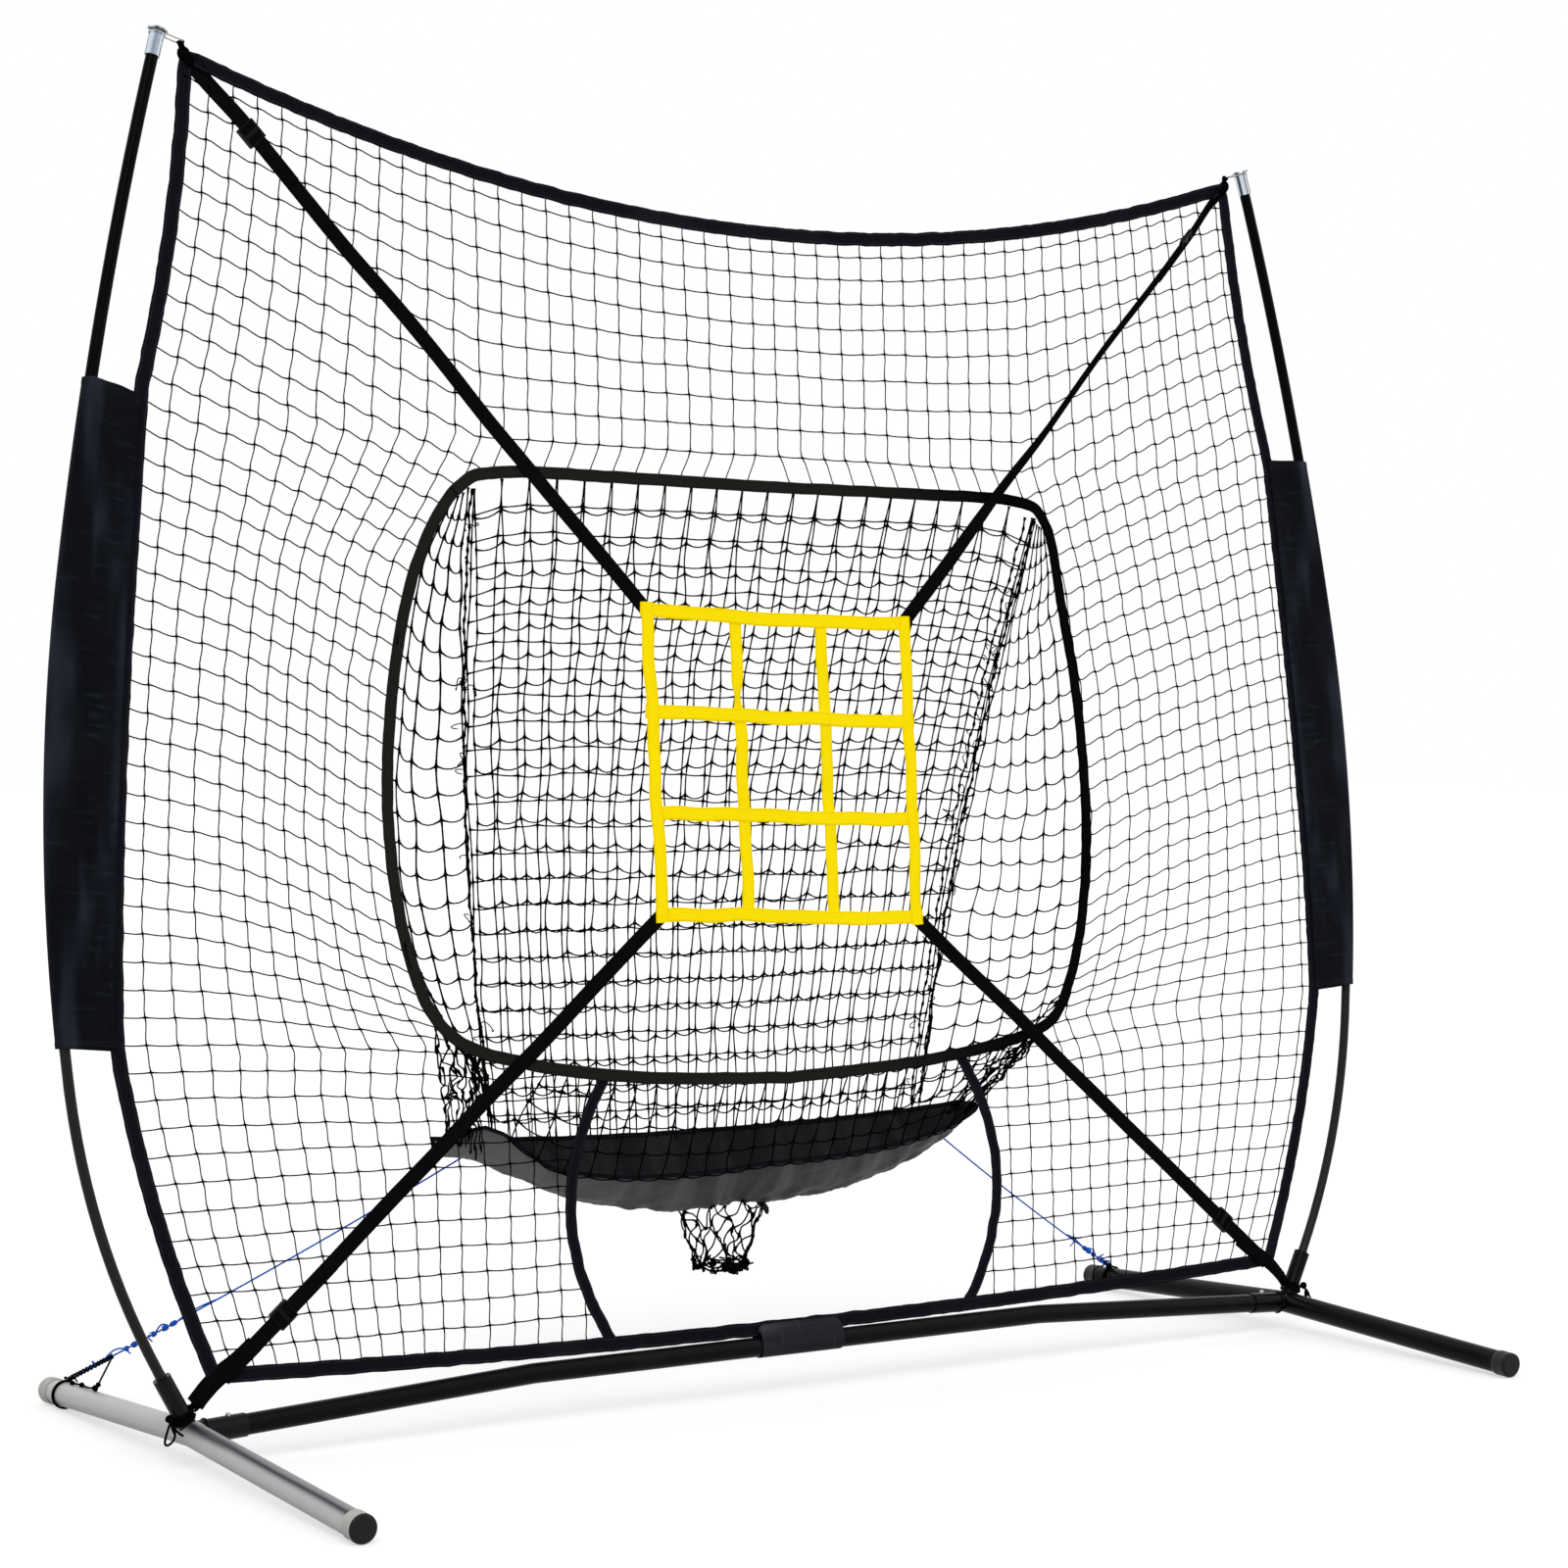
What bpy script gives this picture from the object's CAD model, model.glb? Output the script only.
"""Pitching target net: shapes, finishes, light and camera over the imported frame.

The builders work in millimetres along the frame's own axes: x to the right, y to
the back and z up. The net, poles and straps are laid out in panel coordinates
(x, w, v), where w is the distance behind the leaning panel and v the height up it.
"""

import logging
import math
from dataclasses import dataclass, field
from enum import Enum
from typing import Callable, Optional, Sequence, Union

import bpy
import numpy as np
from mathutils import Matrix


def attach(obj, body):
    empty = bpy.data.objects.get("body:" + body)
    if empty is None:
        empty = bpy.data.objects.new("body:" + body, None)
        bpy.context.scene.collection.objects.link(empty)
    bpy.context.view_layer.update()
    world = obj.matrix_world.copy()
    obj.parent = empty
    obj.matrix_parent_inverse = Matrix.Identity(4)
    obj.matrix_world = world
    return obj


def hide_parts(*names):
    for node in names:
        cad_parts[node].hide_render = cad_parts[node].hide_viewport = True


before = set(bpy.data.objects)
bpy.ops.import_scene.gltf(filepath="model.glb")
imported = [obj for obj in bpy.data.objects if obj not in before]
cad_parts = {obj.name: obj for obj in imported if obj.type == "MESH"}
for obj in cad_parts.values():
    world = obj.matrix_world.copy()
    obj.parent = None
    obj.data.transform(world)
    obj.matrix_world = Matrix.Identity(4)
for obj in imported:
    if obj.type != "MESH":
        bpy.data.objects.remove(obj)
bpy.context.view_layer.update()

Array = np.ndarray
Number = Union[float, np.ndarray]
MM = 0.001
END_R = 0.02
LOG = logging.getLogger("target_net")


class Side(Enum):
    """The two halves of the stand."""

    LEFT = -1
    RIGHT = 1

    @property
    def word(self) -> str:
        """The half's word in piece names."""
        return self.name.lower()


# ------------------------------------------------------------------ arithmetic


def mix(a: Number, b: Number, t: Number) -> Number:
    """A share t of the way from a to b."""
    return a + (b - a) * t


def shares(count: int) -> Array:
    """Even shares from 0 to 1, as a column."""
    return np.linspace(0.0, 1.0, count)[:, None]


def hump(t: Number) -> Number:
    """Half a wave: 0 at both ends and 1 in the middle."""
    return np.sin(math.pi * t)


def sway(t: Number) -> Number:
    """A whole wave: to one side and then to the other."""
    return np.sin(2 * math.pi * t)


def arc(t: Number) -> Number:
    """A parabola: 0 at both ends and 1 in the middle."""
    return 4 * t * (1 - t)


def bell(distance: Number, width: float) -> Number:
    """1 at no distance, and falling to 0 over the width."""
    return np.exp(-((distance / width) ** 2))


def ease(t: Number) -> Number:
    """A smooth step from 0 to 1 while t goes from 0 to 1."""
    t = np.clip(t, 0.0, 1.0)
    return t * t * (3.0 - 2.0 * t)


def unit(vectors: Array) -> Array:
    """The vectors with length one."""
    return vectors / np.maximum(np.linalg.norm(vectors, axis=-1, keepdims=True), 1e-9)


def run_length(points: Array) -> Array:
    """Distance along a polyline at each of its points."""
    steps = np.linalg.norm(np.diff(points, axis=0), axis=1)
    return np.concatenate([[0.0], np.cumsum(steps)])


def ripple(points: Array, wavelength: float, seed: int, waves: int = 7) -> Array:
    """Smooth seeded noise, mostly between -1 and 1.

    Args:
        points: positions, one in each row.
        wavelength: usual distance between crests, in the points' unit.
        seed: number that fixes the pattern.
        waves: how many plane waves are added up.

    Returns:
        One value for each point.
    """
    rng = np.random.default_rng(seed)
    ways = unit(rng.normal(size=(waves, points.shape[-1])))
    lengths = wavelength * rng.uniform(0.6, 1.7, waves)
    phases = rng.uniform(0.0, 2.0 * math.pi, waves)
    waves_at = np.sin(points @ (ways / lengths[:, None]).T * 2.0 * math.pi + phases)
    return waves_at.mean(axis=-1) * 1.9


def wander(points: Array, wavelength: float, seed: int) -> Array:
    """A seeded ripple along each axis."""
    return np.stack([ripple(points, wavelength, seed + k) for k in range(3)], -1)


def point_at(path: Array, distance: float) -> Array:
    """The point of a path at a distance from its start."""
    return np.array([np.interp(distance, run_length(path), path[:, k]) for k in range(3)])


def pair(a: Number, b: Number) -> tuple:
    """Two numbers or arrays, as arrays of the same shape."""
    return np.broadcast_arrays(np.asarray(a, float), np.asarray(b, float))


def smooth_curve(knots: Array, steps: int) -> Array:
    """Smooth open curve through the knots.

    Args:
        knots: points that it passes through.
        steps: number of steps between two knots.

    Returns:
        Its points.
    """
    padded = np.vstack([knots[:1], knots, knots[-1:]])
    t = shares(steps + 1)[:-1]
    parts = []
    for i in range(len(knots) - 1):
        p0, p1, p2, p3 = padded[i : i + 4]
        bend = (2 * p0 - 5 * p1 + 4 * p2 - p3) * t**2 + (3 * p1 - p0 - 3 * p2 + p3) * t**3
        parts.append(0.5 * (2 * p1 + (p2 - p0) * t + bend))
    return np.vstack([*parts, knots[-1:]])


def in_polygon(x: Array, v: Array, outline: Array) -> Array:
    """Finds the points that lie inside a closed outline.

    Args:
        x: the points' distances across.
        v: their heights.
        outline: corners of the outline, each as x and v.

    Returns:
        True for each point inside.
    """
    inside = np.zeros(x.shape, bool)
    for (x0, v0), (x1, v1) in zip(outline, np.roll(outline, -1, axis=0)):
        if v0 != v1:
            crosses = (v0 > v) != (v1 > v)
            inside ^= crosses & (x < (x1 - x0) * (v - v0) / (v1 - v0) + x0)
    return inside


# ---------------------------------------------------------------------- layout


@dataclass(frozen=True)
class Panel:
    """The leaning panel that the net, poles and straps are laid out in."""

    lean: float = math.radians(3.9)
    axis_z: float = 49.2

    def place(self, x: Number, w: Number, v: Number) -> Array:
        """Points of the frame, in mm, for panel coordinates.

        Args:
            x: positions across.
            w: distances behind the panel.
            v: heights up the panel.

        Returns:
            An array whose last axis is x, y and z.
        """
        x, w, v = np.broadcast_arrays(*(np.asarray(a, float) for a in (x, w, v)))
        sin, cos = math.sin(self.lean), math.cos(self.lean)
        return np.stack([x, w * cos + v * sin, self.axis_z - w * sin + v * cos], -1)

    def along(self, line: Array, w: Number) -> Array:
        """Points of the frame for a line in x and v, at distances w behind."""
        return self.place(line[:, 0], w, line[:, 1])

    def way(self, x: float, v: float) -> Array:
        """Direction in the frame for one in x and v."""
        return self.place(x, 0.0, v) - self.place(0.0, 0.0, 0.0)

    @property
    def front(self) -> Array:
        """The panel's normal, towards the pitcher."""
        return np.array([0.0, -math.cos(self.lean), math.sin(self.lean)])


@dataclass(frozen=True)
class Foot:
    """The tube of a foot, whose two straight halves fall from the middle."""

    x: float = 1071.0
    height: float = 49.2
    half: float = 560.0
    drop: float = 28.0
    radius: float = 19.0

    @property
    def slope(self) -> float:
        """Fall of each half, in radians."""
        return math.atan(self.drop / self.half)

    def axis(self, y: float) -> Array:
        """Point of the right foot's axis."""
        return np.array([self.x, y, self.height - abs(y) * self.drop / self.half])


PANEL = Panel()
FOOT = Foot()


@dataclass(frozen=True)
class PoleBow:
    """Centre line of a pole: three arcs above a leaning socket."""

    socket_angle: float = math.radians(28.0)
    socket_len: float = 97.0
    radii: tuple = (1170.0, 3070.0, 7000.0)
    ends: tuple = (math.radians(6.0), math.radians(-8.0), math.radians(-14.75))

    def arcs(self) -> list:
        """Works out the arcs from the socket upwards.

        Returns:
            Each arc's centre, radius and upper end.
        """
        angle, found = self.socket_angle, []
        way = np.array([math.sin(angle), math.cos(angle)])
        at = np.array([FOOT.x, 0.0]) + self.socket_len * way
        for r, end in zip(self.radii, self.ends):
            centre = at + r * np.array([-math.cos(angle), math.sin(angle)])
            at = centre + r * np.array([math.cos(end), -math.sin(end)])
            angle = end
            found.append((centre, r, at))
        return found

    def across(self, v: Number) -> Array:
        """Distance of the centre line from the middle.

        Args:
            v: heights up the panel.

        Returns:
            One distance for each height.
        """
        v = np.asarray(v, float)
        x = [c[0] + np.sqrt(np.maximum(r * r - (c[1] - v) ** 2, 0.0)) for c, r, _ in self.arcs()]
        low, high = (end[1] for _, _, end in self.arcs()[:2])
        return np.where(v < low, x[0], np.where(v < high, x[1], x[2]))


@dataclass(frozen=True)
class Outline:
    """Edges of the net: hems, pocket mouth and arch, as centre lines in x and v."""

    pole: PoleBow = PoleBow()
    corner_x: float = 1026.0
    corner_top: float = 2045.0
    corner_bottom: float = 70.0
    top_sag: float = 175.0
    tape: float = 20.0
    bottom_mid: float = 58.5
    sleeve_low: float = 563.0
    sleeve_high: float = 1545.0
    sleeve_reach: float = 80.0
    sleeve_pull: float = 24.0
    low_pull: float = 16.0
    high_pull: float = 12.0
    mouth_low: float = 464.0
    mouth_high: float = 1443.0
    mouth_half: float = 684.0
    arch_half: float = 350.0
    arch_bulge: float = 72.0
    arch_tuck: float = 22.0
    blown: float = 13.0

    def top(self, x: Number) -> Array:
        """Height of the top hem."""
        return self.corner_top - self.top_sag * (1 - (np.asarray(x) / self.corner_x) ** 2)

    def bottom(self, x: Number) -> Array:
        """Height of the bottom hem."""
        return mix(self.bottom_mid, 80.0, (np.asarray(x) / self.corner_x) ** 2)

    def sleeve_edge(self, v: Number) -> Array:
        """Distance across of the hem beside the sleeve, at heights v."""
        share = np.clip((v - self.sleeve_low) / (self.sleeve_high - self.sleeve_low), 0.0, 1.0)
        return self.pole.across(v) - self.sleeve_reach - self.sleeve_pull * hump(share)

    def side(self, v: Number) -> Array:
        """Distance across of the side hems.

        Args:
            v: heights up the panel.

        Returns:
            One distance for each height.
        """
        v = np.asarray(v, float)
        t = (v - self.corner_bottom) / (self.sleeve_low - self.corner_bottom)
        low = mix(self.corner_x + 4, self.sleeve_edge(self.sleeve_low), t) + self.low_pull * arc(t)
        s = (v - self.sleeve_high) / (self.corner_top - self.sleeve_high)
        high = mix(self.sleeve_edge(self.sleeve_high), self.corner_x, s) - self.high_pull * arc(s)
        middle = self.sleeve_edge(v)
        return np.where(v < self.sleeve_low, low, np.where(v > self.sleeve_high, high, middle))

    def half_mouth(self, steps: int = 10) -> Array:
        """Right half of the pocket mouth, from its top middle to its bottom middle.

        Args:
            steps: number of steps between two knots of the curve.

        Returns:
            Its points in x and v.
        """
        across = (0, 0.44, 0.74, 0.845, 0.91, 0.977, 1, 0.965, 0.88, 0.73, 0.41, 0)
        up = (1, 1.002, 1, 0.972, 0.875, 0.67, 0.445, 0.24, 0.103, 0.05, 0.015, 0)
        size = (self.mouth_half, self.mouth_high - self.mouth_low)
        knots = np.stack([across, up], -1) * size + (0, self.mouth_low)
        return smooth_curve(knots, steps)

    def mouth(self, steps: int = 10) -> Array:
        """The whole pocket mouth as a closed outline."""
        half = self.half_mouth(steps)
        return np.vstack([half, half[-2:0:-1] * (-1, 1)])

    def arch(self, t: Array) -> Array:
        """Right edge band of the open arch, t from the bottom hem to the mouth."""
        v = mix(float(self.bottom(self.arch_half)), self.mouth_low + self.arch_tuck, t)
        return np.stack([self.arch_half + self.arch_bulge * arc(t), v], -1)

    def open_net(self, x: Array, v: Array) -> Array:
        """Finds the points that the flat net covers.

        Args:
            x: the points' distances across.
            v: their heights.

        Returns:
            True for each point on the net.
        """
        inside = (v < self.top(x)) & (v > self.bottom(x))
        inside &= np.abs(x) < self.side(v)
        inside &= ~in_polygon(x, v, self.mouth())
        foot = self.bottom(self.arch_half)
        t = (v - foot) / (self.mouth_low - foot)
        gap = self.arch_half + self.arch_bulge * arc(t)
        return inside & ~((np.abs(x) < gap) & (t < 1))

    def depth(self, x: Number, v: Number) -> Array:
        """How far the net is blown back behind the panel.

        Args:
            x: distances across.
            v: heights.

        Returns:
            One distance for each place.
        """
        x, v = pair(np.abs(x), v)
        hem = self.side(v)
        reach = np.clip((hem - x) / np.maximum(hem - 600.0, 1.0), 0.0, 1.0)
        return self.blown * bell(v - 940.0, 330.0) * ease(reach) * ease((x - 380.0) / 260.0)


OUTLINE = Outline()
POLE = OUTLINE.pole


# --------------------------------------------------------------------- meshing


def pulled(points: Array) -> Array:
    """Moves what lies near the mouth's sides, which both hang a little to the left.

    Args:
        points: places in the frame, in mm.

    Returns:
        The moved places.
    """
    reach, z = np.abs(points[..., 0]), points[..., 2]
    near = ease((reach - 500.0) / 130.0) * ease((1000.0 - reach) / 310.0)
    tall = ease((z - 380.0) / 300.0) * ease((1560.0 - z) / 300.0)
    shift = np.where(points[..., 0] < 0, 34.0, 28.0) * near * tall
    rise = np.where(points[..., 0] < 0, 9.0, 0.0) * near * tall * ease((z - 1250.0) / 150.0)
    return points + np.stack([-shift, 0 * z, rise], -1)


@dataclass
class Shape:
    """Points in mm, quads, and for each point a pair of texture lengths in metres."""

    points: Array
    quads: Array
    uv: Array

    @staticmethod
    def joined(shapes: Sequence["Shape"]) -> "Shape":
        """One shape made of several.

        Args:
            shapes: the shapes, in order.

        Returns:
            The whole.
        """
        starts = np.cumsum([0, *(len(s.points) for s in shapes[:-1])])
        return Shape(
            np.vstack([s.points for s in shapes]),
            np.vstack([s.quads + k for s, k in zip(shapes, starts)]),
            np.vstack([s.uv for s in shapes]),
        )

    @staticmethod
    def sheet(points: Array, uv: Array, keep: Optional[Array] = None) -> "Shape":
        """A surface over a grid of points, less the cells that are not kept."""
        quads = grid_quads(*points.shape[:2], keep)
        return Shape(points.reshape(-1, 3), quads, uv.reshape(-1, 2))

    def mirrored(self) -> "Shape":
        """The same shape in the other half of the stand."""
        return Shape(self.points * (-1, 1, 1), self.quads[:, ::-1], self.uv)

    def on(self, side: Side) -> "Shape":
        """The shape, drawn for the right half, in the given half."""
        return self if side is Side.RIGHT else self.mirrored()


def grid_quads(rows: int, columns: int, keep: Optional[Array] = None) -> Array:
    """Quads of a grid whose points run along the columns first.

    Args:
        rows: number of rows of points.
        columns: number of points in each row.
        keep: which cells exist, or None for all.

    Returns:
        Point numbers, four in each row.
    """
    index = np.arange(rows * columns).reshape(rows, columns)
    quads = np.stack([index[:-1, :-1], index[:-1, 1:], index[1:, 1:], index[1:, :-1]], -1)
    return quads.reshape(-1, 4) if keep is None else quads[keep]


def cross_ways(path: Array, hint: Array) -> tuple:
    """Finds two unit directions across a path.

    Args:
        path: the path.
        hint: direction that the second one keeps close to.

    Returns:
        Both directions at each point.
    """
    way = unit(np.gradient(path, axis=0))
    up = unit(hint - way * (way * hint).sum(-1, keepdims=True))
    return np.cross(up, way), up


def carried_ways(path: Array) -> tuple:
    """Finds two unit directions across a path, carried along it without twist.

    Args:
        path: the path.

    Returns:
        Both directions at each point.
    """
    way = unit(np.gradient(path, axis=0))
    start = np.eye(3)[np.argmin(np.abs(way[0]))]
    ups = [unit(start - way[0] * (way[0] @ start))]
    for t in way[1:]:
        ups.append(unit(ups[-1] - t * (t @ ups[-1])))
    up = np.array(ups)
    return np.cross(up, way), up


def sweep(
    path: Array, profile: Array, out: Array, up: Array, size: Number = 1.0, flat: bool = False
) -> Shape:
    """Carries a profile along a path.

    Args:
        path: centre line.
        profile: cross-section, as lengths along out and up.
        out: first direction across, at each point of the path.
        up: second direction across.
        size: factor on the profile, one number or one for each path point.
        flat: take the first texture length from the profile's own width.

    Returns:
        The swept surface.
    """
    n, m = len(path), len(profile)
    size = np.broadcast_to(np.asarray(size, float), (n,))[:, None, None]
    spread = profile[None, :, 0, None] * out[:, None] + profile[None, :, 1, None] * up[:, None]
    points = (path[:, None] + spread * size).reshape(-1, 3)
    around = profile[:, 0] if flat else run_length(profile) * float(size.mean())
    uv = np.stack(np.meshgrid(around * MM, run_length(path) * MM), -1).reshape(-1, 2)
    return Shape(points, grid_quads(n, m), uv)


def tube(path: Array, radius: Number, sides: int = 6, hint: Optional[Array] = None) -> Shape:
    """A round tube along a path.

    Args:
        path: centre line.
        radius: one radius, or one for each point of the path.
        sides: number of sides.
        hint: direction that no part of the path follows, or None.

    Returns:
        The tube's surface.
    """
    turn = np.linspace(0.0, 2.0 * math.pi, sides + 1)
    ring = np.stack([np.cos(turn), np.sin(turn)], -1)
    out, up = carried_ways(path) if hint is None else cross_ways(path, hint)
    return sweep(path, ring, out, up, radius)


def cord(path: Array, radius: float, sides: int = 6) -> Shape:
    """A round tube along a path that closes at both ends.

    Args:
        path: centre line.
        radius: radius between the ends.
        sides: number of sides.

    Returns:
        The tube's surface.
    """
    radii = np.full(len(path), radius)
    radii[[0, -1]] = END_R
    return tube(path, radii, sides)


def tape_profile(width: float, thick: float, ridge: float = 0.0) -> Array:
    """Cross-section of a sewn tape with rounded edges.

    Args:
        width: width of the tape.
        thick: its thickness.
        ridge: height of the folded edges above the middle.

    Returns:
        A closed outline, counter-clockwise.
    """
    half, r = width / 2, thick / 2
    xs = np.array([half, half - r * 0.3, half - r, half - 3.2, half - 5.0, 0.0])
    ys = np.array([0.0, r * 0.7, r, r, r - ridge, r - ridge])
    quarter = np.stack([xs, ys], -1)
    top = np.vstack([quarter, quarter[-2::-1] * (-1, 1)])
    return np.vstack([top, top[-2:0:-1] * (1, -1), top[:1]])


def band(path: Array, profile: Array, size: Number = 1.0, face: Optional[Array] = None) -> Shape:
    """A flat tape along a path.

    Args:
        path: centre line.
        profile: cross-section.
        size: factors on the cross-section.
        face: direction of its upper face, or None for the panel's front.

    Returns:
        The tape.
    """
    out, up = cross_ways(path, PANEL.front if face is None else face)
    return sweep(path, profile, out, up, size, flat=True)


def add_piece(
    name: str,
    shape: Shape,
    finish: "Finish",
    replaces: Sequence[str] = (),
    body: str = "stand",
) -> bpy.types.Object:
    """Puts a shape in the scene.

    Args:
        name: piece name.
        shape: what to draw.
        finish: its finish.
        replaces: frame nodes that the piece stands for.
        body: the moving body that it rides on.

    Returns:
        The new object.
    """
    mesh = bpy.data.meshes.new(name)
    mesh.from_pydata((shape.points * MM).tolist(), [], shape.quads.tolist())
    layer = mesh.uv_layers.new(name="lengths")
    loops = np.empty(len(mesh.loops), np.int32)
    mesh.loops.foreach_get("vertex_index", loops)
    layer.data.foreach_set("uv", shape.uv[loops].astype(np.float32).ravel())
    mesh.polygons.foreach_set("use_smooth", np.ones(len(mesh.polygons), bool))
    mesh.materials.append(finish.material())
    made = bpy.data.objects.new(name, mesh)
    bpy.context.scene.collection.objects.link(made)
    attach(made, body)
    if replaces:
        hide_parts(*replaces)
    LOG.info("%s: %d faces", name, len(shape.quads))
    return made


def thicken(piece: bpy.types.Object, thick: float, lining: Optional["Finish"] = None) -> None:
    """Gives a cloth surface its thickness.

    Args:
        piece: the cloth.
        thick: its thickness.
        lining: finish of its other face, or None for the same one.
    """
    if lining is not None:
        piece.data.materials.append(lining.material())
    shell = piece.modifiers.new("thickness", "SOLIDIFY")
    shell.thickness = thick * MM
    shell.offset = 0.0
    shell.use_even_offset = False
    if lining is not None:
        shell.material_offset = 1


# -------------------------------------------------------------------- finishes


def tone(red: int, green: int, blue: int) -> tuple:
    """A linear colour with full alpha, from its display values, 0 to 255.

    Args:
        red: red channel.
        green: green channel.
        blue: blue channel.

    Returns:
        Four linear channels.
    """

    def linear(c: float) -> float:
        """One channel without the display's curve."""
        c /= 255.0
        return c / 12.92 if c <= 0.04045 else ((c + 0.055) / 1.055) ** 2.4

    return (linear(red), linear(green), linear(blue), 1.0)


@dataclass(frozen=True)
class Term:
    """An output socket that takes part in arithmetic."""

    graph: "Graph"
    socket: bpy.types.NodeSocket

    def __add__(self, other: "Given") -> "Term":
        """The sum."""
        return self.graph.math("ADD", self, other)

    def __sub__(self, other: "Given") -> "Term":
        """The difference."""
        return self.graph.math("SUBTRACT", self, other)

    def __rsub__(self, other: float) -> "Term":
        """What is left of a number."""
        return self.graph.math("SUBTRACT", other, self)

    def __mul__(self, other: "Given") -> "Term":
        """The product."""
        return self.graph.math("MULTIPLY", self, other)

    def __truediv__(self, other: "Given") -> "Term":
        """The quotient."""
        return self.graph.math("DIVIDE", self, other)

    def __pow__(self, power: float) -> "Term":
        """The power."""
        return self.graph.math("POWER", self, power)

    def __abs__(self) -> "Term":
        """The size without its sign."""
        return self.graph.math("ABSOLUTE", self)

    def sine(self) -> "Term":
        """The sine of an angle."""
        return self.graph.math("SINE", self)


Given = Union[float, tuple, Term]


class Graph:
    """Short forms for laying out a node tree."""

    def __init__(self, tree: bpy.types.NodeTree) -> None:
        """Works on the given tree."""
        self.tree = tree

    def fill(self, node: bpy.types.Node, values: dict) -> None:
        """Sets or connects a node's inputs.

        Args:
            node: the node.
            values: a term or a plain value for each input, by name or number.
        """
        for key, value in values.items():
            if isinstance(value, Term):
                self.tree.links.new(value.socket, node.inputs[key])
            else:
                node.inputs[key].default_value = value

    def node(self, kind: str, values: Optional[dict] = None, **settings) -> bpy.types.Node:
        """A new node.

        Args:
            kind: Blender's node type.
            values: what goes into its inputs.
            settings: attributes of the node.

        Returns:
            The node.
        """
        made = self.tree.nodes.new(kind)
        for key, value in settings.items():
            setattr(made, key, value)
        self.fill(made, values or {})
        return made

    def term(
        self, kind: str, values: Optional[dict] = None, output: Union[int, str] = 0, **settings
    ) -> Term:
        """One output of a new node.

        Args:
            kind: Blender's node type.
            values: what goes into its inputs.
            output: name or number of the output.
            settings: attributes of the node.

        Returns:
            The output.
        """
        return Term(self, self.node(kind, values, **settings).outputs[output])

    def math(self, operation: str, *terms: Given) -> Term:
        """The result of one arithmetic step."""
        return self.term("ShaderNodeMath", dict(enumerate(terms)), operation=operation)

    def blend(self, share: Given, low: Given, high: Given) -> Term:
        """A colour between two colours."""
        return self.term("ShaderNodeMix", {0: share, 6: low, 7: high}, 2, data_type="RGBA")

    def noise(self, at: Term, scale: Given, detail: float = 3.0, warp: float = 0.0) -> Term:
        """Smooth noise from 0 to 1."""
        values = {"Vector": at, "Scale": scale, "Detail": detail, "Distortion": warp}
        return self.term("ShaderNodeTexNoise", values)

    def scaled(self, vector: Term, factors: tuple) -> Term:
        """A vector with each part multiplied by its factor."""
        return self.term("ShaderNodeVectorMath", {0: vector, 1: factors}, operation="MULTIPLY")

    def between(self, value: Term, low: Given, high: Given, kind: str = "SMOOTHSTEP") -> Term:
        """A step from 0 to 1 while the value goes from low to high."""
        values = {"Value": value, "From Min": low, "From Max": high}
        return self.term("ShaderNodeMapRange", values, interpolation_type=kind)

    def split(self, vector: Term) -> tuple:
        """The three parts of a vector."""
        parts = self.node("ShaderNodeSeparateXYZ", {0: vector}).outputs
        return tuple(Term(self, part) for part in parts)

    def use(self, effect: "Effect", values: dict) -> dict:
        """Places a shared effect with its own values.

        Args:
            effect: the effect.
            values: what goes into its inputs.

        Returns:
            Its outputs by name.
        """
        made = self.tree.nodes.new("ShaderNodeGroup")
        made.node_tree = effect.tree()
        self.fill(made, values)
        return {output.name: Term(self, output) for output in made.outputs}


MADE: dict = {}


@dataclass(frozen=True)
class Effect:
    """A node group that several finishes share."""

    name: str
    inputs: dict
    lay: Callable

    def tree(self) -> bpy.types.NodeTree:
        """The group, built at its first use.

        Returns:
            The group's tree, whose inputs without a default are vectors.
        """
        if self.name in MADE:
            return MADE[self.name]
        tree = MADE[self.name] = bpy.data.node_groups.new(self.name, "ShaderNodeTree")
        for key, value in self.inputs.items():
            kind = "NodeSocketVector" if value is None else "NodeSocketFloat"
            socket = tree.interface.new_socket(key, in_out="INPUT", socket_type=kind)
            if value is not None:
                socket.default_value = value
        graph = Graph(tree)
        start = graph.node("NodeGroupInput").outputs
        found = self.lay(graph, {key: Term(graph, start[key]) for key in self.inputs})
        for key in found:
            tree.interface.new_socket(key, in_out="OUTPUT", socket_type="NodeSocketFloat")
        graph.node("NodeGroupOutput", found)
        return tree


def lay_weave(g: Graph, given: dict) -> dict:
    """Plain weave: threads that pass over and under, with a worn unevenness.

    Args:
        g: the group's tree.
        given: its inputs.

    Returns:
        Its outputs.
    """
    u, v, _ = g.split(given["Lengths"])
    a, b = u / given["Across"], v / given["Along"]
    turn = g.math("PINGPONG", g.math("FLOOR", a) + g.math("FLOOR", b), 1.0)
    warp, weft = abs((b * math.pi).sine()), abs((a * math.pi).sine())
    height = warp * turn + weft * (1.0 - turn)
    return {"Height": height, "Shade": height * 0.5 + g.noise(given["Lengths"], 90.0) * 0.5}


def lay_twist(g: Graph, given: dict) -> dict:
    """Strands laid round a cord or twine; see lay_weave for what goes in and out."""
    u, v, _ = g.split(given["Lengths"])
    turn = (u / given["Girth"] * given["Strands"] + v / given["Pitch"]) * (2.0 * math.pi)
    return {"Height": abs(turn.sine())}


def lay_stitch(g: Graph, given: dict) -> dict:
    """Machine stitches at a distance across; see lay_weave for what goes in and out."""
    near = g.math("LESS_THAN", abs(given["Across"] - given["Line"]), given["Thread"])
    step = g.math("FRACT", given["Along"] / given["Pitch"])
    return {"Mask": near * g.math("LESS_THAN", step, 0.68)}


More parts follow.
